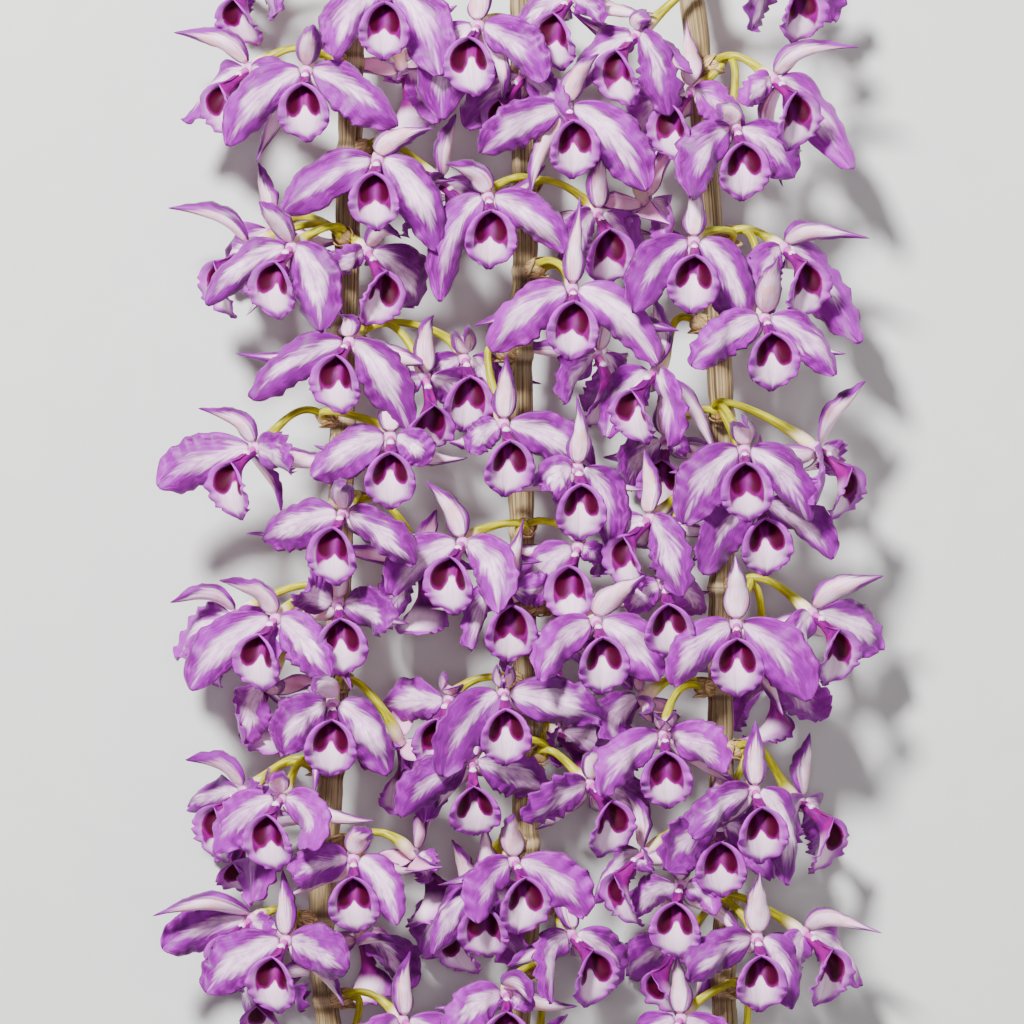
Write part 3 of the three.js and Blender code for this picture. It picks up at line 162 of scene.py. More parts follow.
# A spray, named for its cane and its number from the rhizome: Y of its node, angle round the
# cane (0 to the right, 90 up), blooms.
# A bloom: X, Y, rise over the cane's axis, turn to the right and nod in degrees, then the
# way from its middle to the tip of its dorsal sepal, left petal, right petal, left sepal
# and right sepal, each as X, Y. A tepal whose tip is empty or left out grows by itself.
SPRAYS = {
    "left_01": (204, 60, [
        [-99, 206, 3, -40, 30, [], [-8, -16], [9, -19]],
        [-48, 198, 25, 0, 10, [], [-20, -27], [21, -32], [-25, -14]],
        [-42, 171, -15, 150, 40, [], [3, -22], [14, -24]],
    ]),
    "left_02": (172, 150, [
        [-101, 169, 5, -50, 12, [-29, 14], [-32, -23]],
        [-78, 167, 27, -5, 10, [4, 18], [-30, -29], [35, -22], [-22, -38]],
    ]),
    "left_03": (138, 30, [
        [-51, 133, 29, -5, 8, [21, 12], [-36, -20], [24, -35], [-34, -8]],
        [-27, 126, 3, 60, 20],
    ]),
    "left_04": (104, 100, [
        [-101, 101, 3, -60, 10, [-31, 15], [-30, -19]],
        [-84, 100, 25, -25, 10, [-12, 17], [-32, -22], [11, -32], [-28, -33], [21, -29]],
        [-55, 99, 12, 35, 25, [18, 5], [2, -35], [], [-9, -26], [27, -23]],
        [-92, 108, -4, -50, 25],
    ]),
    "left_05": (69, 40, [
        [-62, 64, 29, -20, 10, [-5, 14], [-38, -21], [22, -36], [-42, -3]],
        [-33, 51, 17, 20, 35, [], [-2, -33]],
        [-18, 58, 7, 10, 15, [-1, 10], [0, -42], [20, -27], [-8, -5], [32, -12]],
    ]),
    "left_06": (35, 140, [
        [-98, 24, 21, -40, 10, [-21, 15], [-37, -14], [14, -10], [13, -22], [38, -5]],
        [-46, 28, 27, 0, 10, [], [-30, -15], [13, -23], [-29, -3]],
    ]),
    "left_07": (3, 50, [
        [-64, -1, 29, -15, 8, [2, 11], [-32, -11], [27, -20], [-40, -9]],
        [-35, -21, -5, 160, 45, [], [-12, -42], [15, -38]],
    ]),
    "left_08": (-33, 110, [
        [-106, -40, 5, -55, 12, [-25, 6], [-32, -16]],
        [-90, -41, 25, -25, 10, [-20, 13], [-32, -27], [21, -22], [], [32, -25]],
        [-95, -68, -13, -120, 50, [], [-6, -20]],
        [-66, -35, 22, 5, 12, [], [-16, 5], [18, -9]],
    ]),
    "left_09": (-66, 75, [
        [-68, -73, 29, 0, 12, [-8, 8], [-20, -21], [21, -28], [-6, -34], [26, -17]],
        [-43, -88, 5, 165, 30, [], [-1, -37], [10, -31]],
    ]),
    "left_10": (-98, 140, [
        [-103, -107, 5, -50, 10, [-22, 13], [-22, -7], [-2, -12]],
        [-88, -109, 27, -20, 10, [-6, 6], [-22, -19], [19, -19], [], [36, -8]],
        [-103, -121, -11, -30, 50, [], [-12, -12], [2, -24]],
    ]),
    "left_11": (-128, 30, [
        [-60, -132, 29, 0, 12, [5, 10], [-21, -5], [18, -28], [-28, -15]],
        [-37, -131, 7, 120, 30, [], [5, -37], [15, -32], [-8, -15], [22, -11]],
        [-58, -163, -11, 150, 40, [], [], [17, -21]],
    ]),
    "left_12": (-157, 150, [
        [-100, -156, 5, -45, 12, [-27, 5], [-34, -11], [-10, -20]],
        [-86, -163, 25, -20, 10, [], [-30, -20], [23, -10], [], [23, -24]],
        [-94, -176, -9, -30, 50, [], [-6, -22], [13, -15]],
    ]),
    "left_13": (-187, 30, [
        [-41, -194, 17, 30, 10],
        [-70, -222, 14, -15, 15],
    ]),
    "middle_01": (183, 100, [
        [-13, 184, 27, -15, 10, [], [-14, -36], [25, -22], [-18, 6], [10, -31]],
        [22, 195, 21, -30, 15, [], [-17, -15], [-2, -34]],
    ]),
    "middle_02": (157, 40, [
        [21, 153, 29, 10, 10, [12, 20], [-33, -19], [30, -32], [-14, -36], [36, -17]],
        [4, 166, 15, -50, 25, [], [-28, -25], [], [-17, -21]],
    ]),
    "middle_03": (124, 75, [
        [-9, 119, 25, 5, 10, [-15, 11], [-19, -40], [29, -22], [], [23, 15]],
        [33, 114, -2, 20, 15, [], [-6, -30], [11, -30]],
    ]),
    "middle_04": (92, 50, [
        [23, 84, 31, 2, 8, [3, 35], [-31, -24], [32, -29], [-39, -12], [42, -15]],
        [33, 60, -6, 35, 35, [], [-13, -19], [-3, -25]],
    ]),
    "middle_05": (60, 140, [
        [-3, 33, 25, 10, 12, [], [2, -32], [33, -17]],
    ]),
    "middle_06": (27, 40, [
        [25, 16, 27, 5, 10, [], [-9, -11], [13, -34]],
    ]),
    "middle_07": (-7, 80, [
        [-2, -30, 21, 8, 12, [5, 29], [-15, -27], [34, -2]],
        [25, -14, 13, -15, 20, [], [-20, -17], [], [-35, 3]],
        [-19, -12, 25, -20, 10, [-14, 24], [], [13, -24], [-22, -2]],
    ]),
    "middle_08": (-37, 40, [
        [32, -42, 29, 10, 10, [18, 19], [-22, -22], [27, -26], [-25, -4]],
        [18, -49, -8, -30, 30, [], [-21, -18]],
    ]),
    "middle_09": (-66, 140, [
        [-3, -69, 27, 3, 10, [0, 6], [-23, -30], [37, -11]],
        [-24, -72, 17, -20, 14, [0, 6], [-27, -2], [], [-10, -22]],
    ]),
    "middle_10": (-94, 60, [
        [30, -104, 19, 35, 12, [8, 15], [-25, -14], [17, -16], [-16, -19]],
        [-15, -95, 29, 3, 25, [], [], [29, -14], [-18, -24]],
        [18, -85, -8, 60, 20, [], [], [21, -8]],
    ]),
    "middle_11": (-127, 130, [
        [1, -133, 27, 18, 10, [0, 19], [-13, -26], [], [], [17, -4]],
        [-9, -142, 15, -10, 20, [], [-18, -21], [8, -27], [-11, -6]],
        [-16, -150, -10, -40, 30],
    ]),
    "middle_12": (-152, 30, [
        [23, -161, 21, 35, 10, [], [-6, -25], [17, -25], [-25, -11], [18, -11]],
    ]),
    "middle_13": (-176, 60, [
        [-2, -183, 25, 0, 15, [11, 2], [-18, -12], [7, -12]],
        [14, -214, 10, 30, 20],
    ]),
    "right_01": (203, 60, [
        [104, 206, 11, 30, 15, [], [-14, -24], [19, -19]],
        [47, 181, 21, -35, 12, [3, 6], [], [10, -32], [-24, 10], [19, -16]],
    ]),
    "right_02": (170, 40, [
        [100, 164, 21, 35, 10, [32, 13], [3, -30], [30, -34], [-21, -12], [9, -42]],
        [85, 145, 27, 10, 12, [-8, 4], [-17, -27]],
        [68, 160, 15, -35, 12, [], [], [], [], [13, -6]],
    ]),
    "right_03": (138, 170, [
        [52, 119, -4, 120, 35, [], [-4, -30], [], [], [15, -15]],
    ]),
    "right_04": (104, 40, [
        [104, 100, 17, 35, 10, [32, 4], [-2, -28], [29, -36], [-13, -36]],
        [96, 73, 29, 10, 12, [], [-27, -19], [], [-27, -9], [32, -14]],
        [69, 102, 29, 0, 10, [], [-22, -25], [20, -37], [-13, 16]],
    ]),
    "right_05": (71, 160, [
        [54, 53, 23, -40, 15, [], [-25, -28], [1, -33], [], [22, -37]],
    ]),
    "right_06": (37, 100, [
        [117, 24, 11, 60, 15, [20, 24], [], [12, -38]],
        [88, 23, 33, 0, 8, [0, 11], [-23, -28], [24, -28], [], [36, -13]],
        [94, 3, 21, 8, 12, [], [-20, -27], [], [-27, -23]],
        [59, 27, -6, -10, 20, [], [-13, -19], [8, -15]],
    ]),
    "right_07": (3, 150, [
        [52, -3, 21, -45, 12, [], [], [11, -30]],
        [58, -28, 23, 5, 15, [], [-17, -15], [15, -11]],
    ]),
    "right_08": (-29, 40, [
        [115, -39, 15, 40, 10, [27, 15], [-1, -32], [27, -15]],
        [85, -43, 31, 0, 10, [], [-25, -25], [27, -30], [-28, -11], [18, -34]],
        [100, -64, -10, 130, 55, [], [-13, -21], [17, -19]],
    ]),
    "right_09": (-68, 150, [
        [49, -71, 9, -120, 20, [], [-10, -21], [], [], [8, -15]],
        [58, -85, 27, 0, 12, [0, 5], [-25, -23], [22, -13], [], [30, -21]],
    ]),
    "right_10": (-92, 40, [
        [92, -106, 31, 10, 10, [], [-21, -17], [13, -36], [-32, -19], [23, -15]],
        [111, -111, -4, 60, 15, [], [], [10, -22], [], [25, -16]],
        [79, -119, 21, 0, 12, [], [-21, -17], [21, -21]],
    ]),
    "right_11": (-125, 150, [
        [50, -130, 15, -60, 20, [], [-18, -20], [-10, -20], [-32, -5]],
        [64, -142, 25, -10, 12, [], [-23, -19], [15, -27], [], [25, -21]],
    ]),
    "right_12": (-150, 100, [
        [93, -162, 29, 5, 10, [], [-25, -15], [14, -30], [-18, -8], [18, -11]],
        [112, -161, 11, 45, 10, [29, 0], [0, -27]],
        [64, -166, -10, -60, 30, [], [-21, -15], [-9, -19], [], [4, -25]],
    ]),
    "right_13": (-183, 60, [
        [64, -193, 21, -20, 15],
        [92, -224, 10, 25, 20],
    ]),
}

# The number of each fixed draw, which draw() turns into a share between 0 and 1.
DRAWS = {
    "twist": 1, "width": 2, "sway": 3, "notches": 4, "swing": 5, "waves": 6, "ruffle": 7,
    "lean": 8, "tip": 9, "left fold": 10, "blade tint": 11, "bloom tint": 12, "right fold": 13,
    "slow notches": 14, "drape": 15, "lip roll": 21, "lip swing": 22, "lip tint": 23,
    "pedicel tint": 31, "column tint": 41, "stub tint": 51, "bract turn": 52,
    "bract length": 56, "bract tint": 60, "cane tint": 71, "root tint": 81,
}

# ---------------------------------------------------------------- small helpers


def draw(seed, what, k=0):
    """A fixed draw between 0 and 1 for a seed. what: a name in DRAWS. k: which of its repeats."""
    wave = math.sin(seed * 12.9898 + (DRAWS[what] + k) * 78.233) * 43758.5453
    return wave - math.floor(wave)


def unit(vectors):
    return vectors / np.linalg.norm(vectors, axis=-1, keepdims=True)


def dot(a, b):
    return np.sum(a * b, axis=-1, keepdims=True)


def angles_round(sides):
    return np.arange(sides) * 2 * math.pi / sides


def above_floor(points):
    """What would dip under the surface bends along it."""
    low = np.minimum(points[..., 2], FLOOR_SOFTNESS)
    bent = FLOOR_SOFTNESS * np.exp(low / FLOOR_SOFTNESS - 1)
    points[..., 2] = np.where(points[..., 2] < FLOOR_SOFTNESS, bent, points[..., 2])
    return points


def ramp(values, low, high):
    """A smooth rise from 0 at low to 1 at high."""
    t = np.clip((values - low) / (high - low), 0, 1)
    return t * t * (3 - 2 * t)


def column_at(rows, places, column):
    """A column of a table of rows at the given places, on a smooth curve through the rows."""
    table = np.array(rows, float)
    keys = table[:, 0]
    values = table[:, column]
    before = np.maximum(np.arange(len(keys)) - 1, 0)
    after = np.minimum(np.arange(len(keys)) + 1, len(keys) - 1)
    slopes = (values[after] - values[before]) / (keys[after] - keys[before])
    k = np.searchsorted(keys[1:-1], places)
    span = keys[k + 1] - keys[k]
    t = (places - keys[k]) / span
    return (
        values[k] * (1 + 2 * t) * (1 - t) ** 2
        + values[k + 1] * t * t * (3 - 2 * t)
        + slopes[k] * span * t * (1 - t) ** 2
        - slopes[k + 1] * span * t * t * (1 - t)
    )


def bezier(points, t):
    """Points at t on a curve with three or four control points."""
    t = t[:, None]
    if len(points) == 3:
        a, b, c = points
        return a * (1 - t) ** 2 + b * 2 * t * (1 - t) + c * t**2
    a, b, c, d = points
    return a * (1 - t) ** 3 + b * 3 * t * (1 - t) ** 2 + c * 3 * t**2 * (1 - t) + d * t**3


# ---------------------------------------------------------------- growing meshes


class Growth:
    """One mesh in the making: quads, their materials, and two marks on each vertex.

    The mark "blade" tells where a vertex lies on its blade or tube. The mark "own" is one
    draw for the blade or tube and one for its bloom, so that no two look alike.
    """

    def __init__(self):
        self.vertices = []
        self.quads = []
        self.paints = []
        self.marks = []
        self.owns = []
        self.count = 0

    def add(self, vertices, quads, paint, marks, own):
        self.vertices.append(vertices)
        self.quads.append(quads + self.count)
        self.paints.append(np.full(len(quads), paint))
        self.marks.append(marks)
        self.owns.append(np.tile(np.array([*own, 0], float), (len(vertices), 1)))
        self.count += len(vertices)

    def shell(self, points, facing, thickness, paint, own, t, v):
        """A closed leaf through a grid of points: two sides that meet at its border.

        Its marks are its places t and v, and 1 on the side that faces as asked, -1 on the other.
        """
        along, across = np.gradient(points, axis=(0, 1))
        normals = np.cross(along, across)
        normals /= np.maximum(np.linalg.norm(normals, axis=-1, keepdims=True), 1e-9)
        turned = np.sum(normals * facing) < 0
        if turned:
            normals = -normals
        rows, columns = points.shape[:2]
        offset = normals * thickness[..., None] / 2
        side = np.ones((rows, columns))
        for border in (offset, side):
            border[[0, -1]] = 0
            border[:, [0, -1]] = 0
        over = np.arange(rows * columns).reshape(rows, columns)
        under = over.copy()
        inner = np.arange((rows - 2) * (columns - 2)).reshape(rows - 2, columns - 2)
        under[1:-1, 1:-1] = rows * columns + inner
        vertices = np.concatenate([
            (points + offset).reshape(-1, 3),
            (points - offset)[1:-1, 1:-1].reshape(-1, 3),
        ])
        vertices[:, 2] = np.maximum(vertices[:, 2], LEAST_HEIGHT)
        upper = np.dstack([t, v, side])
        lower = np.dstack([t, v, -side])[1:-1, 1:-1]
        marks = np.concatenate([upper.reshape(-1, 3), lower.reshape(-1, 3)])
        quads = []
        for grid, backwards in ((over, turned), (under, not turned)):
            corners = [grid[:-1, :-1], grid[1:, :-1], grid[1:, 1:], grid[:-1, 1:]]
            if backwards:
                corners.reverse()
            quads.append(np.stack(corners, axis=-1).reshape(-1, 4))
        self.add(vertices, np.concatenate(quads), paint, marks, own)

    def tube(self, centres, radii, paint, own, place=None, near=1.0, upright=(0, 0, 1)):
        """A closed tube round a line. radii: one row for each ring, one column for each side.

        Its marks are its place along the tube, the angle round it and near, which may have a
        value for each ring.
        """
        rings, sides = radii.shape
        along = unit(np.gradient(centres, axis=0))
        normal = np.array(upright, float)
        frames = []
        for way in along:
            normal = unit(normal - way * np.dot(way, normal))
            frames.append((normal, np.cross(way, normal)))
        first = np.array([a for a, _ in frames])[:, None]
        second = np.array([b for _, b in frames])[:, None]
        angles = angles_round(sides)
        spokes = first * np.cos(angles)[:, None] + second * np.sin(angles)[:, None]
        points = centres[:, None] + spokes * radii[..., None]
        points[..., 2] = np.maximum(points[..., 2], LEAST_HEIGHT)
        number = np.arange(rings * sides).reshape(rings, sides)
        onward = np.roll(number, -1, axis=1)
        walls = np.stack([number[:-1], onward[:-1], onward[1:], number[1:]], axis=-1)
        half = np.arange(sides // 2 - 1)
        foot = np.stack([half, sides - 1 - half, sides - 2 - half, half + 1], axis=-1)
        head = number[-1][foot[:, ::-1]]
        quads = np.concatenate([walls.reshape(-1, 4), foot, head])
        place = np.linspace(0, 1, rings) if place is None else place
        near = near + np.zeros(rings)
        marks = np.dstack(np.broadcast_arrays(place[:, None], angles[None], near[:, None]))
        self.add(points.reshape(-1, 3), quads, paint, marks.reshape(-1, 3), own)

    def finish(self, name, materials, slot, nodes):
        """The mesh as an object that stands for the given nodes of the solids."""
        mesh = bpy.data.meshes.new(name)
        places = (np.concatenate(self.vertices) - PLAN_ORIGIN) * MM
        mesh.from_pydata(places.tolist(), [], np.concatenate(self.quads).tolist())
        for material in materials:
            mesh.materials.append(material)
        mesh.polygons.foreach_set("material_index", np.concatenate(self.paints))
        for label, values in (("blade", self.marks), ("own", self.owns)):
            layer = mesh.attributes.new(label, "FLOAT_VECTOR", "POINT")
            layer.data.foreach_set("vector", np.concatenate(values).astype(np.float32).ravel())
        mesh.shade_smooth()
        piece = bpy.data.objects.new(name, mesh)
        bpy.context.scene.collection.objects.link(piece)
        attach(piece, "root")
        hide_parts(*nodes)


# ---------------------------------------------------------------- one bloom's frame


class Bloom:
    """A bloom's own directions, the point where its tepals join, and its numbers."""

    def __init__(self, row, seed):
        x, y, rise, turn, nod = row[:5]
        a = math.radians(turn)
        b = math.radians(nod)
        self.tips = row[5:] + [[]] * len(SLOTS)
        self.seed = seed
        self.tint = draw(seed, "bloom tint")
        self.front = np.array([
            math.sin(a) * math.cos(b), -math.sin(b), math.cos(a) * math.cos(b),
        ])
        self.up = unit(np.array([0, 1, 0]) - self.front * self.front[1])
        right = np.cross(self.up, self.front)
        self.hand = -1 if right[0] < 0 else 1
        self.right = right * self.hand
        self.middle = np.array([x, y, CANE_AXIS_HEIGHT + rise], float)

    def way(self, right, up, front):
        return self.right * right + self.up * up + self.front * front

    def port_way(self, port):
        """The direction in which a blade leaves the bloom's middle."""
        return self.way(math.cos(math.radians(port)), math.sin(math.radians(port)), 0)

    def hub_edge(self, slot):
        """The hub's point between the blade in a slot and the one before it."""
        apart = (port_of(slot - 1) - port_of(slot) + 720) % 360
        return self.middle + self.port_way(port_of(slot) + apart / 2) * HUB_RADIUS


def port_of(slot):
    kind, side, _ = SLOTS[slot % len(SLOTS)]
    return kind["port"] if side > 0 else 180 - kind["port"]


class Blade:
    """The paths that a blade may follow, one for each way to grow, and its width on them."""

    def __init__(self, bloom, slot, ways):
        self.bloom = bloom
        self.slot = slot
        self.seed = bloom.seed + 0.1 * slot
        self.kind = SLOTS[slot][0]
        share, lift, bulge, free = (column[:, None] for column in ways.T)
        self.share = share
        outward = bloom.port_way(port_of(slot))
        self.start = bloom.middle + outward * HUB_PORT_RADIUS
        if slot == LIP_SLOT:
            self._grow_lip(share, lift, bulge)
        else:
            self._grow_tepal(share, lift, bulge, free, outward)
        self.flip = 1
        _, across, _ = self.lines(np.array([SIDE_PLACE]))
        rooted = bloom.hub_edge((slot + 1) % len(SLOTS)) - bloom.hub_edge(slot)
        self.flip = np.where(dot(across, rooted) < 0, -1, 1)

    def _grow_lip(self, share, lift, bulge):
        bloom = self.bloom
        sway = LIP_SWAY * (2 * draw(bloom.seed, "sway") - 1)
        front, drop = LIP_BEND
        down = bloom.way(0, -drop, 0)
        self.bend = bloom.middle + share * (down + bloom.front * front * (1 + bulge))
        front, drop = LIP_TIP
        fall = bloom.way(0, -drop, front)
        self.end = bloom.middle + bloom.way(sway, 0, 0) + share * fall
        self.end = self.end + lift * np.array([0, 0, 1])
        self.twist = 0

    def _grow_tepal(self, share, lift, bulge, free, outward):
        bloom = self.bloom
        kind, side, tip = SLOTS[self.slot]
        aim = unit(bloom.way(side * kind["aim"][0], kind["aim"][1], kind["aim"][2]))
        way = aim * kind["length"]
        target = bloom.tips[tip]
        if target:
            spare = kind["length"] ** 2 - target[0] ** 2 - target[1] ** 2
            lean = min(math.sqrt(max(spare, 0)), MAX_LEAN * kind["length"])
            given = np.array([target[0], target[1], -lean if aim[2] < 0 else lean])
            way = np.where(free > 0, way, given)
        way = way * share + bloom.front * lift * kind["lift"]
        length = np.linalg.norm(way, axis=-1, keepdims=True)
        self.bend = (
            self.start + outward * CLAW_REACH * length + way * WAY_REACH
            + bloom.front * (kind["bow"] + bulge) * length
        )
        self.end = bloom.middle + way
        self.twist = kind["twist"] * (2 * draw(self.seed, "twist") - 1)
        width = WIDTH_DRAW[0] + WIDTH_DRAW[1] * draw(self.seed, "width")
        fullest = kind["head"] / (kind["head"] + kind["tail"])
        norm = fullest ** kind["head"] * (1 - fullest) ** kind["tail"]
        self.half = kind["width"] / 2 * width * np.sqrt(share) / norm

    def half_at(self, t):
        """Half width at t, one row for each way to grow."""
        if self.slot == LIP_SLOT:
            return self.share * column_at(LIP_ROWS, t, 1)
        widening = t ** self.kind["head"] * np.maximum(1 - t, 0) ** self.kind["tail"]
        return CLAW_HALF_WIDTH * (1 - t) ** 2 + self.half * widening

    def cup_at(self, t):
        if self.slot == LIP_SLOT:
            return column_at(LIP_ROWS, t, 2)
        return np.full(len(t), self.kind["cup"])

    def lines(self, t):
        """Centre of the blade at t, its way across and the way it faces."""
        front = self.bloom.front
        up = self.bloom.up
        start, bend, end = (p[..., None, :] for p in (self.start, self.bend, self.end))
        t = t[:, None]
        centre = start * (1 - t) ** 2 + bend * 2 * t * (1 - t) + end * t**2
        along = unit((bend - start) * (1 - t) + (end - bend) * t)
        face = front - along * dot(along, front)
        short = np.linalg.norm(face, axis=-1, keepdims=True) < MIN_FACE
        face = unit(np.where(short, up - along * dot(along, up), face))
        across = np.cross(along, face) * self.bloom.hand
        face = face * self.flip
        across = across * self.flip
        cos, sin = np.cos(self.twist * t), np.sin(self.twist * t)
        return centre, across * cos + face * sin, face * cos - across * sin

    def points(self, t, v):
        """The points t along and v across, one row for each way to grow."""
        centre, across, face = self.lines(t)
        sideways = (self.half_at(t) * v)[..., None]
        forward = (self.half_at(t) * self.cup_at(t) * v * v)[..., None]
        return above_floor(centre + across * sideways + face * forward)

    def sheet(self, t, sideways, forward):
        """Points that lie sideways and forward of a grown blade's path, and how it faces."""
        centre, across, face = (lines[0][:, None] for lines in self.lines(t))
        points = centre + across * sideways[..., None] + face * forward[..., None]
        return above_floor(points), face


def grown_blade(bloom, slot, corners):
    """The blade as it has grown in the solids, told by the corners of the spray's solid."""
    blade = Blade(bloom, slot, WAYS)
    stops = blade.kind["stops"]
    t = np.array([stop for stop in stops for _ in (0, 1)] + [1.0])
    v = np.array([side for _ in stops for side in (-1, 1)] + [0.0])
    places = blade.points(t, v)
    flat = places.reshape(-1, 3)
    square = dot(flat, flat) + np.sum(corners**2, axis=1) - 2 * flat @ corners.T
    gaps = np.sqrt(np.maximum(square.min(axis=1), 0)).reshape(places.shape[:2])
    fits = np.minimum(gaps, GAP_CAP).mean(axis=1)
    sure = np.flatnonzero(fits < SURE_GAP)
    best = sure[0] if len(sure) else int(fits.argmin())
    return Blade(bloom, slot, WAYS[best:best + 1])


# ---------------------------------------------------------------- the blades' fine forms

# How far a petal's fine form stands out of its plain sheet, in millimetres. A pair is the
# least and what a draw adds to it. A swing is how far it goes for a whole draw, and the draw
# at which it is none.
PETAL_GROOVE = (0.6, 0.13)  # depth of the middle vein's groove, and its share of the width
PETAL_PLEAT = 0.1
PETAL_PLEATS = 26  # phase of the fine pleats at the petal's edge, in radians
PETAL_WAVES = (5.5, 1.5)  # number of waves along an edge
PETAL_RUFFLE = (0.9, 0.9)  # height of those waves
PETAL_LEAN = (4.2, 0.4)  # a swing: how far its two halves lean opposite ways
PETAL_DRAPE = (0.5, 0.9)  # slow folds over the whole petal
PETAL_TIP = (7.0, 0.25)  # a swing: how far its tip bends away
SEPAL_GROOVE = (0.4, 0.2)
SEPAL_WAVES = 4.5
SEPAL_RUFFLE = 0.3
SEPAL_HOOK = (10.0, 0.45)  # a swing: how far its tip hooks forward

TIP_PLACE = 0.992  # where a fine blade's grid ends, next to its tip
EDGE_CROWDING = 0.35  # how much closer together a blade's grid is at its edges
SCALLOP = 0.035  # depth of the scallops along an edge, as a share of the half width
SCALLOPS = [(7.5, 1, "notches"), (3.1, 1.4, "slow notches")]  # number, weight and draw
TEPAL_EDGE = 0.45  # thickness at the edge as a share of that in the middle
LIP_EDGE = 0.5
LIP_OPENS = (0.42, 0.6)  # where along the lip its tube opens into the limb
LIP_WAVES = 8.5  # number of waves along each edge
LIP_RIPPLES = (13, 0.7)  # number of the finer waves, and their share of the height
LIP_UNEVEN = (0.03, 2.3)  # how far the waves are shifted along the lip, and how often
LIP_TIGHTNESS = (0.92, 0.16)  # of its roll
LIP_GRID = (40, 23, 1.0)
LIP_THICKNESS = 0.6
LIP_RUFFLE = 0.95
LIP_CREASE = (0.5, 0.1)  # depth and width, as a petal's groove
LIP_POINT = 1.2  # how far the point of the lip bends back


def grid_of(grid):
    """Places along and across a blade, closer together towards its tip and its edges.

    They come as two lists, and as two grids of that size.
    """
    rows, columns, crowding = grid
    t = TIP_PLACE * (1 - (1 - np.linspace(0, 1, rows)) ** crowding)
    even = np.linspace(-1, 1, columns)
    v = (1 - EDGE_CROWDING) * even + EDGE_CROWDING * np.sin(even * math.pi / 2)
    return t, v, *np.meshgrid(t, v, indexing="ij")


def drawn(pair, seed, what, k=0):
    least, more = pair
    return least + more * draw(seed, what, k)


def swung(swing, seed, what):
    most, none = swing
    return most * (draw(seed, what) - none)


def thinned(v, at_edge):
    """The share of its thickness that a blade has at each v across it."""
    return at_edge + (1 - at_edge) * np.sqrt(1 - v**2)


def groove(size, v):
    """A groove along the middle of a blade. size: its depth and its share of the width."""
    depth, width = size
    return -depth * np.exp(-((v / width) ** 2))


def petal_relief(seed, t, v):
    edge = np.abs(v)
    swing = 2 * math.pi * draw(seed, "swing")
    pleats = PETAL_PLEAT * np.cos(v * PETAL_PLEATS) * (1 - edge)
    count = drawn(PETAL_WAVES, seed, "waves")
    waves = np.sin(2 * math.pi * count * t + swing + np.sign(v)) * edge**2.5
    lean = swung(PETAL_LEAN, seed, "lean") * np.sin(2 * math.pi * t + swing)
    drape = np.sin(2 * math.pi * (1.6 * t + 0.45 * v) + 2 * swing) * (1 - 0.5 * edge)
    return (
        groove(PETAL_GROOVE, v) * ramp(t, 0.02, 0.2)
        + pleats
        + drawn(PETAL_RUFFLE, seed, "ruffle") * waves * ramp(t, 0.12, 0.45)
        + lean * v * edge
        + drawn(PETAL_DRAPE, seed, "drape") * drape * ramp(t, 0.1, 0.4)
        - swung(PETAL_TIP, seed, "tip") * ramp(t, 0.58, 1.1)
    )


def sepal_relief(seed, t, v):
    swing = 2 * math.pi * draw(seed, "swing")
    waves = np.sin(2 * math.pi * SEPAL_WAVES * t + swing + 2 * np.sign(v)) * np.abs(v) ** 3
    return (
        groove(SEPAL_GROOVE, v) * ramp(t, 0.02, 0.2)
        + SEPAL_RUFFLE * waves * ramp(t, 0.1, 0.4)
        + swung(SEPAL_HOOK, seed, "tip") * ramp(t, 0.6, 1.15)
    )


def tepal_fold(kind, seed, t, v):
    """How steeply a tepal's two halves fold back, in radians, growing towards its edges."""
    least, spread, at_tip = kind["fold"]
    halves = np.where(v < 0, draw(seed, "left fold"), draw(seed, "right fold"))
    along = ramp(t, 0.05, 0.5) + at_tip * ramp(t, 0.6, 1.0)
    return (least + spread * halves) * np.abs(v) ** 0.6 * along


def add_tepal(growth, blade, paint):
    kind = blade.kind
    seed = blade.seed
    t, _, tt, vv = grid_of(kind["grid"])
    notches = sum(
        weight * np.sin(2 * math.pi * (count * t + draw(seed, what)))
        for count, weight, what in SCALLOPS
    )
    scallop = 1 + SCALLOP * notches * ramp(t, 0.2, 0.5)
    half = (blade.half_at(t)[0] * scallop * kind["fullness"])[:, None]
    relief = (petal_relief if kind is PETAL else sepal_relief)(seed, tt, vv)
    fold = tepal_fold(kind, seed, tt, vv)
    sideways = half * vv * np.cos(fold)
    forward = kind["cup"] * half * vv**2 + relief - half * np.abs(vv) * np.sin(fold)
    points, face = blade.sheet(t, sideways, forward)
    thick = kind["thickness"] * thinned(vv, TEPAL_EDGE) * (1 - 0.5 * tt)
    own = (draw(seed, "blade tint"), blade.bloom.tint)
    growth.shell(points, face, thick, paint, own, tt, vv)


def lip_section(t, v, tightness):
    """How far the lip lies sideways and forward at each t and v, from its rolled sections."""
    fine = np.linspace(0, 1, ROLL_STEPS)
    half, roll, flare = (column_at(LIP_ROLL, t, k)[:, None] for k in (1, 2, 3))
    turned = np.minimum(roll * tightness * fine / LIP_FLARE_FROM, roll * tightness)
    heading = turned - flare * ramp(fine, LIP_FLARE_FROM, 1)
    step = half / ROLL_STEPS
    beside = np.cumsum(np.cos(heading) * step, axis=1)
    ahead = np.cumsum(np.sin(heading) * step, axis=1)
    edge = np.abs(v)
    sideways = np.array([np.interp(edge, fine, row) for row in beside]) * np.sign(v)
    return sideways, np.array([np.interp(edge, fine, row) for row in ahead])


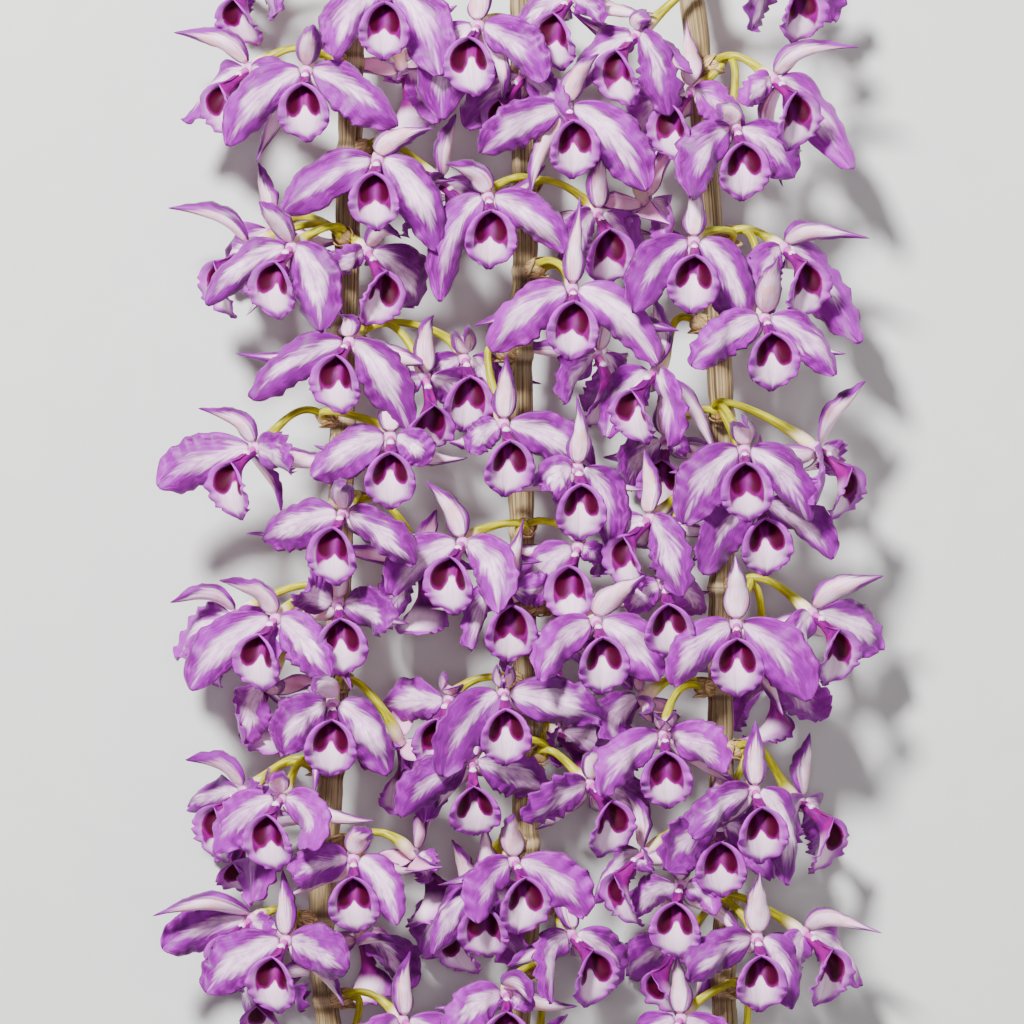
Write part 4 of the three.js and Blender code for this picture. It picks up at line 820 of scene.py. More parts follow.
def add_lip(growth, blade, paint):
    """The lip: rolled into a tube at first, then opening into a ruffled limb."""
    seed = blade.bloom.seed
    t, v, tt, vv = grid_of(LIP_GRID)
    edge = np.abs(vv)
    limb = ramp(tt, *LIP_OPENS)
    swing = 2 * math.pi * draw(seed, "lip swing")
    shift, often = LIP_UNEVEN
    uneven = shift * np.sin(2 * math.pi * often * tt + 3 * swing + np.sign(vv))
    pace = 2 * math.pi * (tt + uneven)
    ripples, height = LIP_RIPPLES
    waves = np.sin(LIP_WAVES * pace + swing) + height * np.sin(ripples * pace - swing)
    relief = (
        LIP_RUFFLE * waves * np.sign(vv) * edge**4 * limb * (1 - ramp(tt, 0.94, 1))
        + groove(LIP_CREASE, vv) * limb
        - LIP_POINT * ramp(tt, 0.86, 1.0)
    )
    sideways, forward = lip_section(t, v, drawn(LIP_TIGHTNESS, seed, "lip roll"))
    share = blade.share[0, 0]
    points, face = blade.sheet(t, sideways * share, forward * share + relief)
    thick = LIP_THICKNESS * thinned(vv, LIP_EDGE)
    inward = face * (edge < 0.3)[..., None]
    own = (draw(seed, "lip tint"), blade.bloom.tint)
    growth.shell(points, inward, thick, paint, own, tt, vv)


# ---------------------------------------------------------------- hub, column and pedicel

# Each ring: how far it lies in front of the bloom's middle, and its radius.
HUB_RINGS = [[0.9, 0.4], [0.7, 1.4], [0.2, 2.1], [-0.6, 2.6], [-1.4, 2.6]]
COLUMN_RINGS = [
    [0.4, 1.5], [1.4, 1.35], [2.4, 1.3], [3.2, 1.3], [3.8, 1.15], [4.4, 1.5], [5.0, 1.55],
    [5.5, 1.2], [5.8, 0.4],
]
COLUMN_SIDES = 12
# Along the pedicel from its bloom to its stub: share of its length, and radius.
PEDICEL_ROWS = [[0, 2.2], [0.07, 2.7], [0.14, 2.6], [0.3, 1.75], [0.52, 1.45], [1, 1.5]]
PEDICEL_RINGS = 22
PEDICEL_SIDES = 10
PEDICEL_FORWARD = 0.34  # share of its reach by which a pedicel leaves the bloom's back
PEDICEL_LEAST = 11  # least length of that stretch
PEDICEL_RISE = 0.16  # share of its reach by which it arches up
PEDICEL_OUT = 0.42  # share of its reach by which it leaves its stub
PEDICEL_SINK = 5.6  # way along the stub where the pedicels end in it
PEDICEL_SPREAD = 1.5  # distance of their ends from the stub's axis
PEDICEL_RIB = 0.03  # height of its faint ribs, as a share of its radius
HUB_PLACES = (-0.2, -0.02)  # where the hub lies on the pedicel's scale, for its paint
COLUMN_DROP = (0.3, 0.04)  # how far the column lies below the middle, and how it curves down
COLUMN_HOLLOW = 0.18  # depth of the hollow under it, as a share of its radius


def add_pedicel(growth, bloom, foot, out, paint):
    """The hub, the swollen chin behind it and the flower stalk down to its stub, as one."""
    back = bloom.middle - bloom.front * HUB_BACK
    reach = np.linalg.norm(back - foot)
    rise = np.array([0, PEDICEL_RISE * reach, 0])
    first = back - bloom.front * max(PEDICEL_FORWARD * reach, PEDICEL_LEAST) + rise
    second = foot + out * PEDICEL_OUT * reach + rise
    t = np.linspace(0, 1, PEDICEL_RINGS) ** 1.15
    ahead, hub_radii = np.transpose(HUB_RINGS)
    centres = np.concatenate([
        bloom.middle + bloom.front * ahead[:, None],
        bezier([back, first, second, foot], t),
    ])
    radii = np.concatenate([hub_radii, np.interp(t, *np.transpose(PEDICEL_ROWS))])
    angles = angles_round(PEDICEL_SIDES)
    ribs = 1 + PEDICEL_RIB * np.cos(3 * angles) + PEDICEL_RIB * np.sin(7 * t.sum() + angles)
    place = np.concatenate([np.linspace(*HUB_PLACES, len(ahead)), t])
    own = (draw(bloom.seed, "pedicel tint"), bloom.tint)
    growth.tube(centres, radii[:, None] * ribs, paint, own, place, upright=bloom.up)


def add_column(growth, bloom, paint):
    """The short column in front of the hub, with its cap."""
    ahead, radii = np.transpose(COLUMN_RINGS)
    below, curve = COLUMN_DROP
    drop = -curve * ahead**2 - below
    centres = bloom.middle + bloom.front * ahead[:, None] + bloom.up * drop[:, None]
    hollow = 1 - COLUMN_HOLLOW * np.maximum(0, -np.cos(angles_round(COLUMN_SIDES))) ** 2
    own = (draw(bloom.seed, "column tint"), bloom.tint)
    growth.tube(centres, radii[:, None] * hollow, paint, own, upright=bloom.up)


# ---------------------------------------------------------------- stubs, bracts and sprays

STUB_SINK = 0.6  # depth of a stub's foot in its cane, as a share of the cane's radius
# Each ring of a stub: how far it lies from the stub's foot, and its radius.
STUB_RINGS = [
    [0, 3.7], [1.5, 3.5], [3, 3.55], [4.2, 3.3], [5.4, 3.35], [6.6, 3.1], [7.6, 2.6], [8.2, 1.2],
]
STUB_SIDES = 14
BRACTS = 3
BRACT_GRID = (12, 11, 1.1)
BRACT_LENGTH = (4.5, 2.5)
BRACT_FOOT = 1.2  # distance of the first bract from the stub's foot
BRACT_STEP = 1.3  # distance between the feet of two bracts along the stub
BRACT_WRAP = (1.25, 0.15)  # half the angle that the first wraps, and how much less the next does
BRACT_POINT = 0.06  # half the angle that is left at its tip
BRACT_RADIUS = (3.7, 0.2)  # of the first, and how much more the next has
BRACT_FLARE = 0.35
BRACT_CRINKLE = 0.12
BRACT_THICKNESS = 0.3
BRACT_SHADE = 0.5


def way_out(angle):
    """The way in which a stub leaves its cane, and a way at right angles to it."""
    around = math.radians(angle)
    out = unit(np.array([math.cos(around), 0.15, math.sin(around)]))
    return out, unit(np.cross(out, np.array([0, 1, 0])))


def add_stub(growth, foot, out, aside, seed, paint):
    """The short leafless shoot that carries a spray, in its papery bracts."""
    upward = np.cross(aside, out)
    along, radii = np.transpose(STUB_RINGS)
    ribs = 1 + 0.03 * np.cos(7 * angles_round(STUB_SIDES) + seed)
    own = (draw(seed, "stub tint"), 0)
    growth.tube(foot + out * along[:, None], radii[:, None] * ribs, paint, own, upright=upward)
    _, _, tt, vv = grid_of(BRACT_GRID)
    for k in range(BRACTS):
        turn = 2 * math.pi * (k / BRACTS + draw(seed, "bract turn", k) * 0.15)
        length = drawn(BRACT_LENGTH, seed, "bract length", k)
        wrap = BRACT_WRAP[0] - BRACT_WRAP[1] * k
        angle = turn + (wrap * (1 - tt**2.2) + BRACT_POINT) * vv
        radius = BRACT_RADIUS[0] + BRACT_RADIUS[1] * k + BRACT_FLARE * tt**2
        radius = radius + BRACT_CRINKLE * np.sin(9 * vv + 5 * tt + k)
        centre = foot + out * (BRACT_FOOT + BRACT_STEP * k + length * tt)[..., None]
        spoke = aside * np.cos(angle)[..., None] + upward * np.sin(angle)[..., None]
        points = above_floor(centre + spoke * radius[..., None])
        thick = np.full(tt.shape, BRACT_THICKNESS)
        own = (draw(seed, "bract tint", k), BRACT_SHADE)
        growth.shell(points, spoke, thick, paint, own, tt, vv)


def cane_point(rows, y):
    y = np.asarray(y, float)
    return np.stack([column_at(rows, y, 1), y, column_at(rows, y, 2)], axis=-1)


def make_spray(name, corners, first_seed, paints):
    """One spray: its stub, and its blooms grown as the corners of its solid tell."""
    petal, sepal, lip, column, pedicel, bract = range(len(paints))
    y, angle, rows = SPRAYS[name]
    out, aside = way_out(angle)
    foot = cane_point(CANES[name.split("_")[0]], y) + out * STUB_SINK * CANE_RADIUS
    growth = Growth()
    add_stub(growth, foot, out, aside, len(rows) + y, bract)
    for k, row in enumerate(rows):
        bloom = Bloom(row, first_seed + k)
        place = 2 * math.pi * k / len(rows) + 0.5
        sink = foot + out * PEDICEL_SINK + aside * PEDICEL_SPREAD * math.cos(place)
        sink[1] += PEDICEL_SPREAD * math.sin(place)
        add_pedicel(growth, bloom, sink, out, pedicel)
        add_column(growth, bloom, column)
        for slot, (kind, _, _) in enumerate(SLOTS):
            blade = grown_blade(bloom, slot, corners)
            if slot == LIP_SLOT:
                add_lip(growth, blade, lip)
            else:
                add_tepal(growth, blade, petal if kind is PETAL else sepal)
    growth.finish("blooms_" + name, paints, "spray", ["spray_" + name])


def make_sprays(solids, paints):
    seed = 1
    for name, (_, _, rows) in SPRAYS.items():
        solid = solids["spray_" + name].data.vertices
        corners = np.zeros(len(solid) * 3)
        solid.foreach_get("co", corners)
        corners = corners.reshape(-1, 3) / MM + PLAN_ORIGIN
        make_spray(name, corners, seed, paints)
        seed += len(rows)


# ---------------------------------------------------------------- canes and rhizome

CANE_SIDES = 36
CANE_STEP = 1.6  # distance between the rings of a cane
CANE_TIP_END = 0.6  # radius of a cane's first ring
NODE_SWELLING = 0.6
NODE_LENGTH = 1.7
WAIST_DEPTH = 0.35  # each cane is a little thinner on both sides of a node
WAIST_PLACE = 5
WAIST_LENGTH = 3
RIB_COUNT = 9
RIB_HEIGHT = 0.16
FIBRE_COUNT = 17
FIBRE_HEIGHT = 0.07
GRAIN_PER_MM = 0.01  # how fast the grain of canes and rhizome runs along them
WOOD_PAINT, ROOT_PAINT = range(2)  # places in the materials of canes and rhizome


def cane_radius(rows, y):
    taper = np.clip((y - rows[0][0]) / CANE_TIP_LENGTH, 0, 1)
    return CANE_TIP_RADIUS + (CANE_RADIUS - CANE_TIP_RADIUS) * np.sqrt(taper)


def cane_nodes(name):
    """Y of each node of a cane: those that carry sprays, then bare ones up to the rhizome."""
    nodes = sorted(y for spray, (y, _, _) in SPRAYS.items() if spray.startswith(name))
    top = CANES[name][-1][0]
    y = nodes[-1] + NODE_SPACING
    while y < top - BARE_TOP:
        nodes.append(y)
        y += NODE_SPACING
    return nodes


def make_cane(name, paint):
    rows = CANES[name]
    nodes = np.array(cane_nodes(name), float)
    y = np.arange(rows[0][0], rows[-1][0] + 0.1, CANE_STEP)
    near = np.abs(y[:, None] - nodes[None]).min(axis=1)
    angles = angles_round(CANE_SIDES)
    swelling = NODE_SWELLING * np.exp(-((near / NODE_LENGTH) ** 2))
    waist = -WAIST_DEPTH * np.exp(-(((near - WAIST_PLACE) / WAIST_LENGTH) ** 2))
    phase = 0.5 * np.floor((y - nodes[0]) / NODE_SPACING)[:, None]
    ribs = RIB_HEIGHT * np.cos(RIB_COUNT * angles[None] + phase)
    fibres = FIBRE_HEIGHT * np.cos(FIBRE_COUNT * angles[None] + 0.05 * y[:, None])
    radii = (cane_radius(rows, y) + swelling + waist)[:, None]
    radii = radii + (ribs + fibres) * ramp(near, 1, WAIST_PLACE)[:, None]
    radii[0] = CANE_TIP_END
    growth = Growth()
    own = (draw(rows[0][0], "cane tint"), 0)
    growth.tube(cane_point(rows, y), radii, WOOD_PAINT, own, y * GRAIN_PER_MM, near)
    growth.finish("cane_" + name + "_fine", [paint], "cane", ["cane_" + name])


RHIZOME = {"from": -20, "to": 36, "y": 322, "height": 6.5, "radius": 9}
RHIZOME_RINGS = 60
RHIZOME_SIDES = 28
RHIZOME_END = 1.5  # radius of its first and last ring
RHIZOME_INSET = 0.35  # keeps its rings and knots inside its solid
RHIZOME_TINT = 0.3
RHIZOME_RING = (6, 0.35)  # distance between its rings, and their height
RHIZOME_KNOT = 0.3
NO_NODE = 20  # distance from a node at which the wood shows nothing of it
# Each root: X where it leaves, then its tip's X and Y.
ROOTS = [
    [-14, -46, 346], [-9, -27, 371], [0, -8, 380], [9, 12, 366], [17, 33, 382], [25, 52, 362],
    [31, 66, 341],
]
ROOT_RADIUS = 1.9
ROOT_END = 0.25
ROOT_WIGGLE = (1.2, 0.4)  # how far a root strays sideways and up
ROOT_WOBBLE = (0.07, 0.06)  # how much its radius varies round it and along it, as a share
ROOT_RINGS = 40
ROOT_SIDES = 12


def add_root(growth, k, row):
    x, tip_x, tip_y = row
    start = np.array([x, RHIZOME["y"] + 2, RHIZOME["height"]])
    bend = np.array([(x + tip_x) / 2 + 3, (RHIZOME["y"] + tip_y) / 2, ROOT_RADIUS + 1])
    tip = np.array([tip_x, tip_y, ROOT_RADIUS * 0.5])
    t = np.linspace(0, 1, ROOT_RINGS)
    centres = bezier([start, bend, tip], t)
    loose = np.sin(math.pi * t) ** 0.5
    centres[:, 0] += ROOT_WIGGLE[0] * loose * np.sin(8.5 * t + 2.1 * k)
    centres[:, 2] += ROOT_WIGGLE[1] * loose * np.sin(11 * t + k)
    angles = angles_round(ROOT_SIDES)
    wobble = ROOT_WOBBLE[0] * np.sin(31 * t[:, None] + 3 * angles[None] + k)
    wobble = wobble + ROOT_WOBBLE[1] * np.sin(17 * t[:, None] - k)
    radii = (ROOT_RADIUS * (1 - 0.5 * t))[:, None] * (1 + wobble)
    radii[-1] = ROOT_END
    growth.tube(centres, radii, ROOT_PAINT, (draw(k, "root tint"), 0))


def make_rhizome(wood, root_paint):
    growth = Growth()
    x = np.linspace(RHIZOME["from"], RHIZOME["to"], RHIZOME_RINGS)
    middle = (RHIZOME["from"] + RHIZOME["to"]) / 2
    half = (RHIZOME["to"] - RHIZOME["from"]) / 2
    t = (x - middle) / half
    radius = RHIZOME["radius"] * (0.35 + 0.65 * np.sqrt(np.maximum(0, 1 - t**4)))
    angles = angles_round(RHIZOME_SIDES)
    apart, height = RHIZOME_RING
    rings = height * np.cos(2 * math.pi * x / apart)[:, None]
    knots = RHIZOME_KNOT * np.sin(3 * angles[None] + x[:, None] * 0.4)
    centres = np.stack([x, 0 * x + RHIZOME["y"], 0 * x + RHIZOME["height"]], axis=-1)
    radii = radius[:, None] + rings + knots - RHIZOME_INSET
    radii[[0, -1]] = RHIZOME_END
    growth.tube(centres, radii, WOOD_PAINT, (RHIZOME_TINT, 0), x * GRAIN_PER_MM, NO_NODE)
    for k, root in enumerate(ROOTS):
        add_root(growth, k, root)
    growth.finish("rhizome_fine", [wood, root_paint], "rhizome", ["rhizome"])


# ---------------------------------------------------------------- materials


def tone(red, green, blue):
    """A colour given in 0 to 255 as the shader wants it."""
    def linear(value):
        value /= 255
        return value / 12.92 if value <= 0.04045 else ((value + 0.055) / 1.055) ** 2.4
    return (linear(red), linear(green), linear(blue), 1)


WHITE = tone(255, 216, 244)
CREAM = tone(242, 184, 190)
LILAC = tone(136, 0, 152)
DEEP_LILAC = tone(92, 0, 98)
PALE_LILAC = tone(178, 24, 190)
MAGENTA = tone(130, 0, 112)
THROAT = tone(104, 0, 100)
MAROON = tone(66, 0, 34)
SEPAL_BACK = tone(230, 164, 204)
COLUMN_FLUSH = tone(196, 70, 176)
GREEN = tone(138, 132, 0)
YELLOW_GREEN = tone(202, 196, 12)
CHIN_CREAM = tone(240, 222, 170)
CHIN_PINK = tone(238, 196, 208)
HUB_PINK = tone(226, 150, 214)
STUB_BROWN = tone(140, 104, 60)
CANE_LIGHT = tone(172, 148, 106)
CANE_DARK = tone(84, 64, 40)
RHIZOME_LIGHT = tone(132, 114, 82)
RHIZOME_DARK = tone(80, 62, 42)
LICHEN = tone(164, 150, 122)
CRACK = tone(62, 46, 30)
NODE_RING = tone(196, 174, 136)
NODE_LINE = tone(112, 78, 52)
NODE_SHADE = tone(82, 60, 38)
BRACT_LIGHT = tone(216, 186, 134)
BRACT_DARK = tone(132, 98, 56)
BRACT_TIP = tone(96, 66, 40)
ROOT_LIGHT = tone(196, 188, 168)
ROOT_DARK = tone(122, 112, 90)
ROOT_GREEN = tone(128, 138, 66)
FLOOR_LIGHT = tone(220, 219, 216)
FLOOR_DARK = tone(212, 212, 210)
SKY = tone(236, 240, 246)

GLOW_RADIUS = (1.0, 0.6, 0.9)  # how far red, green and blue light spread in a petal
GLOW_SCALE = 0.002
OWN_SHIFT = 40.0  # how far apart the noise of two blades is taken
CELLS = 2600.0  # grain of a petal's skin, in cells for each metre


class Paint:
    """A node material with its Principled shader, and short ways to add nodes to it."""

    def __init__(self, name, roughness, specular=0.4, sheen=0.0, glow=0.0):
        self.material = bpy.data.materials.new(name)
        self.material.use_nodes = True
        self.tree = self.material.node_tree
        self.shader = self.tree.nodes["Principled BSDF"]
        for label, value in (
            ("Roughness", roughness), ("Specular IOR Level", specular), ("Sheen Weight", sheen),
            ("Subsurface Weight", glow), ("Subsurface Radius", GLOW_RADIUS),
            ("Subsurface Scale", GLOW_SCALE),
        ):
            self.shader.inputs[label].default_value = value

    def node(self, kind, **settings):
        node = self.tree.nodes.new(kind)
        for key, value in settings.items():
            setattr(node, key, value)
        return node

    def feed(self, sockets, *values):
        for socket, value in zip(sockets, values):
            if isinstance(value, bpy.types.NodeSocket):
                self.tree.links.new(value, socket)
            else:
                socket.default_value = value

    def feed_named(self, node, **values):
        """Feeds sockets by their names."""
        for name, value in values.items():
            self.feed([node.inputs[name]], value)

    def calc(self, operation, *values):
        node = self.node("ShaderNodeMath", operation=operation)
        self.feed(node.inputs, *values)
        return node.outputs[0]

    def times(self, a, b):
        return self.calc("MULTIPLY", a, b)

    def total(self, first, *rest):
        for value in rest:
            first = self.calc("ADD", first, value)
        return first

    def around(self, noise, reach):
        """Noise as a shift to both sides of 0."""
        return self.times(self.calc("SUBTRACT", noise, 0.5), reach)

    def marks(self, name):
        """The three numbers of a mark that the mesh carries."""
        mark = self.node("ShaderNodeAttribute", attribute_name=name)
        split = self.node("ShaderNodeSeparateXYZ")
        self.feed(split.inputs, mark.outputs["Vector"])
        return tuple(split.outputs)

    def ramp(self, value, low, high, least=0.0, most=1.0):
        node = self.node("ShaderNodeMapRange", interpolation_type="SMOOTHSTEP")
        self.feed(node.inputs, value, low, high, least, most)
        return node.outputs[0]

    def noise(self, along, across, z, detail=3.0, rough=0.5):
        """Noise between about 0.3 and 0.7. along and across: a value and how often it repeats."""
        place = self.node("ShaderNodeCombineXYZ")
        self.feed(place.inputs, self.times(*along), self.times(*across), z)
        node = self.node("ShaderNodeTexNoise")
        self.feed_named(node, Vector=place.outputs[0], Scale=1.0, Detail=detail, Roughness=rough)
        return node.outputs[0]

    def grain(self, scale, detail=3.0):
        """Noise in the object's own metres."""
        place = self.node("ShaderNodeTexCoord")
        node = self.node("ShaderNodeTexNoise")
        self.feed_named(node, Vector=place.outputs["Object"], Scale=scale, Detail=detail)
        return node.outputs[0]

    def skin(self, veins):
        """The height of a blade's veins and of its fine cells."""
        return self.total(self.times(veins, 0.7), self.grain(CELLS))

    def mix(self, share, a, b):
        node = self.node("ShaderNodeMix", data_type="RGBA")
        self.feed([node.inputs[0], node.inputs[6], node.inputs[7]], share, a, b)
        return node.outputs[2]

    def layers(self, colour, *layers):
        """A colour under layers of tint.

        Each layer: its tint, the value that brings it out, the values at which it starts and is
        full, and how much of the tint shows there if that isn't all.
        """
        for tint, value, low, high, *most in layers:
            colour = self.mix(self.ramp(value, low, high, 0.0, *most), colour, tint)
        return colour

    def finish(self, colour, height, strength, distance, roughness=None):
        """The material, with a bump of that height. roughness: a socket, where it varies."""
        self.feed([self.shader.inputs["Base Color"]], colour)
        if roughness is not None:
            self.feed_named(self.shader, Roughness=roughness)
        bump = self.node("ShaderNodeBump")
        self.feed_named(bump, Strength=strength, Distance=distance, Height=height)
        self.feed_named(self.shader, Normal=bump.outputs[0])
        return self.material


def petal_paint():
    """Lilac with a white band that ends in feathers along its veins."""
    paint = Paint("petal_lilac", 0.48, 0.28, sheen=0.1, glow=0.15)
    t, v, _ = paint.marks("blade")
    blade, bloom, _ = paint.marks("own")
    edge = paint.calc("ABSOLUTE", v)
    shift = paint.times(blade, OWN_SHIFT)
    slant = paint.calc("SUBTRACT", edge, paint.times(t, 0.75))
    feather = paint.noise((t, 2.6), (slant, 9.0), shift)
    cloud = paint.noise((t, 3.0), (v, 2.0), shift, 2.0)
    veins = paint.noise((t, 1.2), (slant, 46.0), shift, 1.0)
    mottle = paint.noise((t, 11.0), (v, 6.0), shift)
    reach = paint.total(
        edge, paint.around(feather, 0.62), paint.around(cloud, 0.7), paint.around(blade, 0.22),
        paint.ramp(t, 0.55, 1.0, 0.0, 0.4), paint.ramp(t, 0.3, 0.0, 0.0, -0.3),
    )
    lilac = paint.layers(
        DEEP_LILAC,
        (LILAC, cloud, 0.38, 0.62),
        (PALE_LILAC, veins, 0.42, 0.7, 0.45),
        (PALE_LILAC, mottle, 0.46, 0.68, 0.6),
        (DEEP_LILAC, edge, 0.9, 1.0, 0.35),
        (PALE_LILAC, bloom, 0.5, 1.0, 0.35),
        (DEEP_LILAC, bloom, 0.5, 0.0, 0.45),
    )
    white = paint.layers(
        WHITE,
        (PALE_LILAC, veins, 0.45, 0.75, 0.38),
        (PALE_LILAC, mottle, 0.44, 0.7, 0.4),
        (LILAC, edge, 0.07, 0.0, 0.3),
    )
    colour = paint.layers(lilac, (white, reach, 0.44, 0.0))
    gloss = paint.ramp(cloud, 0.3, 0.7, 0.4, 0.56)
    return paint.finish(colour, paint.skin(veins), 0.35, 0.0002, gloss)


def sepal_paint():
    """Cream white with lilac edges and a purple tip."""
    paint = Paint("sepal_cream", 0.48, 0.28, sheen=0.1, glow=0.15)
    t, v, side = paint.marks("blade")
    blade = paint.marks("own")[0]
    edge = paint.calc("ABSOLUTE", v)
    shift = paint.times(blade, OWN_SHIFT)
    streak = paint.noise((t, 2.0), (v, 9.0), shift)
    cloud = paint.noise((t, 4.0), (v, 1.5), shift, 2.0)
    veins = paint.noise((t, 1.0), (v, 22.0), shift, 1.0)
    reach = paint.total(
        edge, paint.around(streak, 0.7), paint.ramp(t, 0.45, 1.0, 0.0, 0.75),
        paint.around(blade, 0.3),
    )
    rim = paint.layers(DEEP_LILAC, (LILAC, cloud, 0.35, 0.65))
    back = paint.layers(SEPAL_BACK, (LILAC, reach, 0.6, 1.1))
    colour = paint.layers(
        WHITE,
        (CREAM, cloud, 0.35, 0.7),
        (PALE_LILAC, streak, 0.5, 0.8, 0.5),
        (rim, reach, 0.4, 0.84),
        (back, side, 0.1, -0.3),
    )
    gloss = paint.ramp(cloud, 0.3, 0.7, 0.42, 0.56)
    return paint.finish(colour, paint.skin(veins), 0.3, 0.0002, gloss)


def lip_paint():
    """White limb with a lilac margin, and two dark blotches in a purple throat.

    The blotches lie close together in some blooms and apart in others.
    """
    paint = Paint("lip_throat", 0.5, 0.12, glow=0.12)
    t, v, side = paint.marks("blade")
    blade = paint.marks("own")[0]
    edge = paint.calc("ABSOLUTE", v)
    shift = paint.times(blade, OWN_SHIFT)
    cloud = paint.noise((t, 7.0), (v, 3.5), shift)
    veins = paint.noise((t, 2.0), (v, 24.0), shift, 2.0)
    wobble = paint.around(cloud, 0.5)
    margin = paint.total(edge, wobble, paint.ramp(t, 0.8, 0.98, 0.0, 0.8))
    rim = paint.layers(LILAC, (PALE_LILAC, cloud, 0.35, 0.65))
    limb = paint.layers(
        WHITE,
        (PALE_LILAC, veins, 0.5, 0.8, 0.4),
        (rim, margin, 0.22, 0.92, 0.95),
        (DEEP_LILAC, t, 0.92, 1.0, 0.8),
    )
    throat = paint.layers(THROAT, (MAGENTA, veins, 0.35, 0.7))
    notch = paint.calc("MULTIPLY_ADD", edge, 0.22, paint.ramp(blade, 0.0, 1.0, 0.48, 0.62))
    before_notch = paint.ramp(paint.calc("SUBTRACT", t, notch), 0.03, -0.03)
    in_throat = paint.times(before_notch, paint.ramp(edge, 0.7, 0.6))
    middle = paint.ramp(blade, 0.0, 1.0, 0.44, 0.29)
    across = paint.calc("DIVIDE", paint.calc("SUBTRACT", edge, middle), 0.34)
    along = paint.calc("DIVIDE", paint.calc("SUBTRACT", t, 0.47), 0.2)
    spread = paint.total(paint.times(across, across), paint.times(along, along), wobble)
    core = paint.layers(THROAT, (MAROON, edge, 0.02, 0.26))
    blotch = paint.layers(MAGENTA, (core, spread, 1.05, 0.5))
    inside = paint.layers(
        paint.mix(in_throat, limb, throat),
        (blotch, spread, 1.2, 0.95),
        (MAROON, t, 0.38, 0.26, 0.8),
    )
    outside = paint.layers(
        MAGENTA,
        (DEEP_LILAC, cloud, 0.35, 0.65),
        (PALE_LILAC, edge, 0.97, 1.0, 0.8),
        (limb, t, 0.42, 0.62),
    )
    colour = paint.layers(inside, (outside, side, 0.1, -0.3))
    gloss = paint.ramp(cloud, 0.3, 0.7, 0.44, 0.58)
    return paint.finish(colour, paint.skin(veins), 0.35, 0.0002, gloss)


def column_paint():
    """A whitish column, flushed with pink below its cap."""
    paint = Paint("column_cap", 0.4, 0.4, glow=0.15)
    t = paint.marks("blade")[0]
    flush = paint.total(t, paint.times(paint.grain(900.0), 0.35))
    colour = paint.layers(COLUMN_FLUSH, (WHITE, flush, 0.5, 0.95))
    return paint.finish(colour, paint.grain(2400.0), 0.25, 0.0002)


def pedicel_paint():
    """Yellow green, paling to cream and pink towards the bloom."""
    paint = Paint("pedicel_green", 0.44, 0.4, glow=0.12)
    t, turn, _ = paint.marks("blade")
    shift = paint.times(paint.marks("own")[0], OWN_SHIFT)
    streak = paint.noise((t, 5.0), (turn, 1.6), shift)
    place = paint.total(t, paint.around(streak, 0.2))
    green = paint.layers(GREEN, (YELLOW_GREEN, streak, 0.35, 0.68))
    colour = paint.layers(
        CHIN_CREAM,
        (CHIN_PINK, streak, 0.4, 0.7),
        (green, place, 0.1, 0.24),
        (HUB_PINK, place, 0.04, -0.06),
        (STUB_BROWN, place, 0.88, 1.0, 0.6),
    )
    return paint.finish(colour, streak, 0.3, 0.0003, paint.ramp(streak, 0.3, 0.7, 0.36, 0.52))


def cane_paint(name, light, dark):
    """Dry straw with long fibres, brown flecks and a paler ring at each node."""
    paint = Paint(name, 0.68, 0.3)
    along, turn, near = paint.marks("blade")
    shift = paint.times(paint.marks("own")[0], 30.0)
    x = paint.calc("SINE", turn)
    z = paint.calc("COSINE", turn)
    fibre_place = paint.calc("MULTIPLY_ADD", z, 9.0, shift)
    fibre = paint.noise((along, 1.6), (x, 9.0), fibre_place, 4.0, 0.62)
    patch_place = paint.calc("MULTIPLY_ADD", z, 1.6, shift)
    patch = paint.noise((along, 7.0), (x, 1.6), patch_place, 3.0, 0.6)
    colour = paint.layers(
        dark,
        (light, fibre, 0.36, 0.64),
        (LICHEN, patch, 0.5, 0.72, 0.65),
        (CRACK, fibre, 0.42, 0.3, 0.75),
        (NODE_RING, near, 2.2, 0.5, 0.62),
        (NODE_LINE, near, 0.45, 0.1, 0.6),
    )
    shade = paint.times(paint.ramp(near, 5.0, 3.0), paint.ramp(near, 1.6, 2.6))
    colour = paint.mix(paint.times(shade, 0.55), colour, NODE_SHADE)
    height = paint.total(fibre, paint.times(paint.grain(1800.0), 0.4))
    return paint.finish(colour, height, 0.55, 0.0005, paint.ramp(patch, 0.3, 0.7, 0.55, 0.8))


def bract_paint():
    """Papery tan with darker veins."""
    paint = Paint("bract_tan", 0.7, 0.25, glow=0.08)
    t, v, _ = paint.marks("blade")
    shift = paint.times(paint.marks("own")[0], 30.0)
    vein = paint.noise((t, 1.5), (v, 7.0), shift)
    colour = paint.layers(
        BRACT_DARK, (BRACT_LIGHT, vein, 0.35, 0.65), (BRACT_TIP, t, 0.75, 1.0, 0.6),
    )
    return paint.finish(colour, vein, 0.5, 0.0004)


def root_paint():
    """Silvery corky root with a greenish growing tip."""
    paint = Paint("root_silver", 0.78, 0.25)
    t = paint.marks("blade")[0]
    grain = paint.grain(420.0, 5.0)
    colour = paint.layers(
        ROOT_DARK, (ROOT_LIGHT, grain, 0.35, 0.65), (ROOT_GREEN, t, 0.9, 1.0, 0.9),
    )
    return paint.finish(colour, grain, 0.5, 0.0005)


def floor_paint():
    paint = Paint("floor_pale", 0.85, 0.2)
    grain = paint.grain(60.0)
    return paint.finish(paint.mix(grain, FLOOR_DARK, FLOOR_LIGHT), grain, 0.05, 0.0002)


# ---------------------------------------------------------------- floor, lights and camera

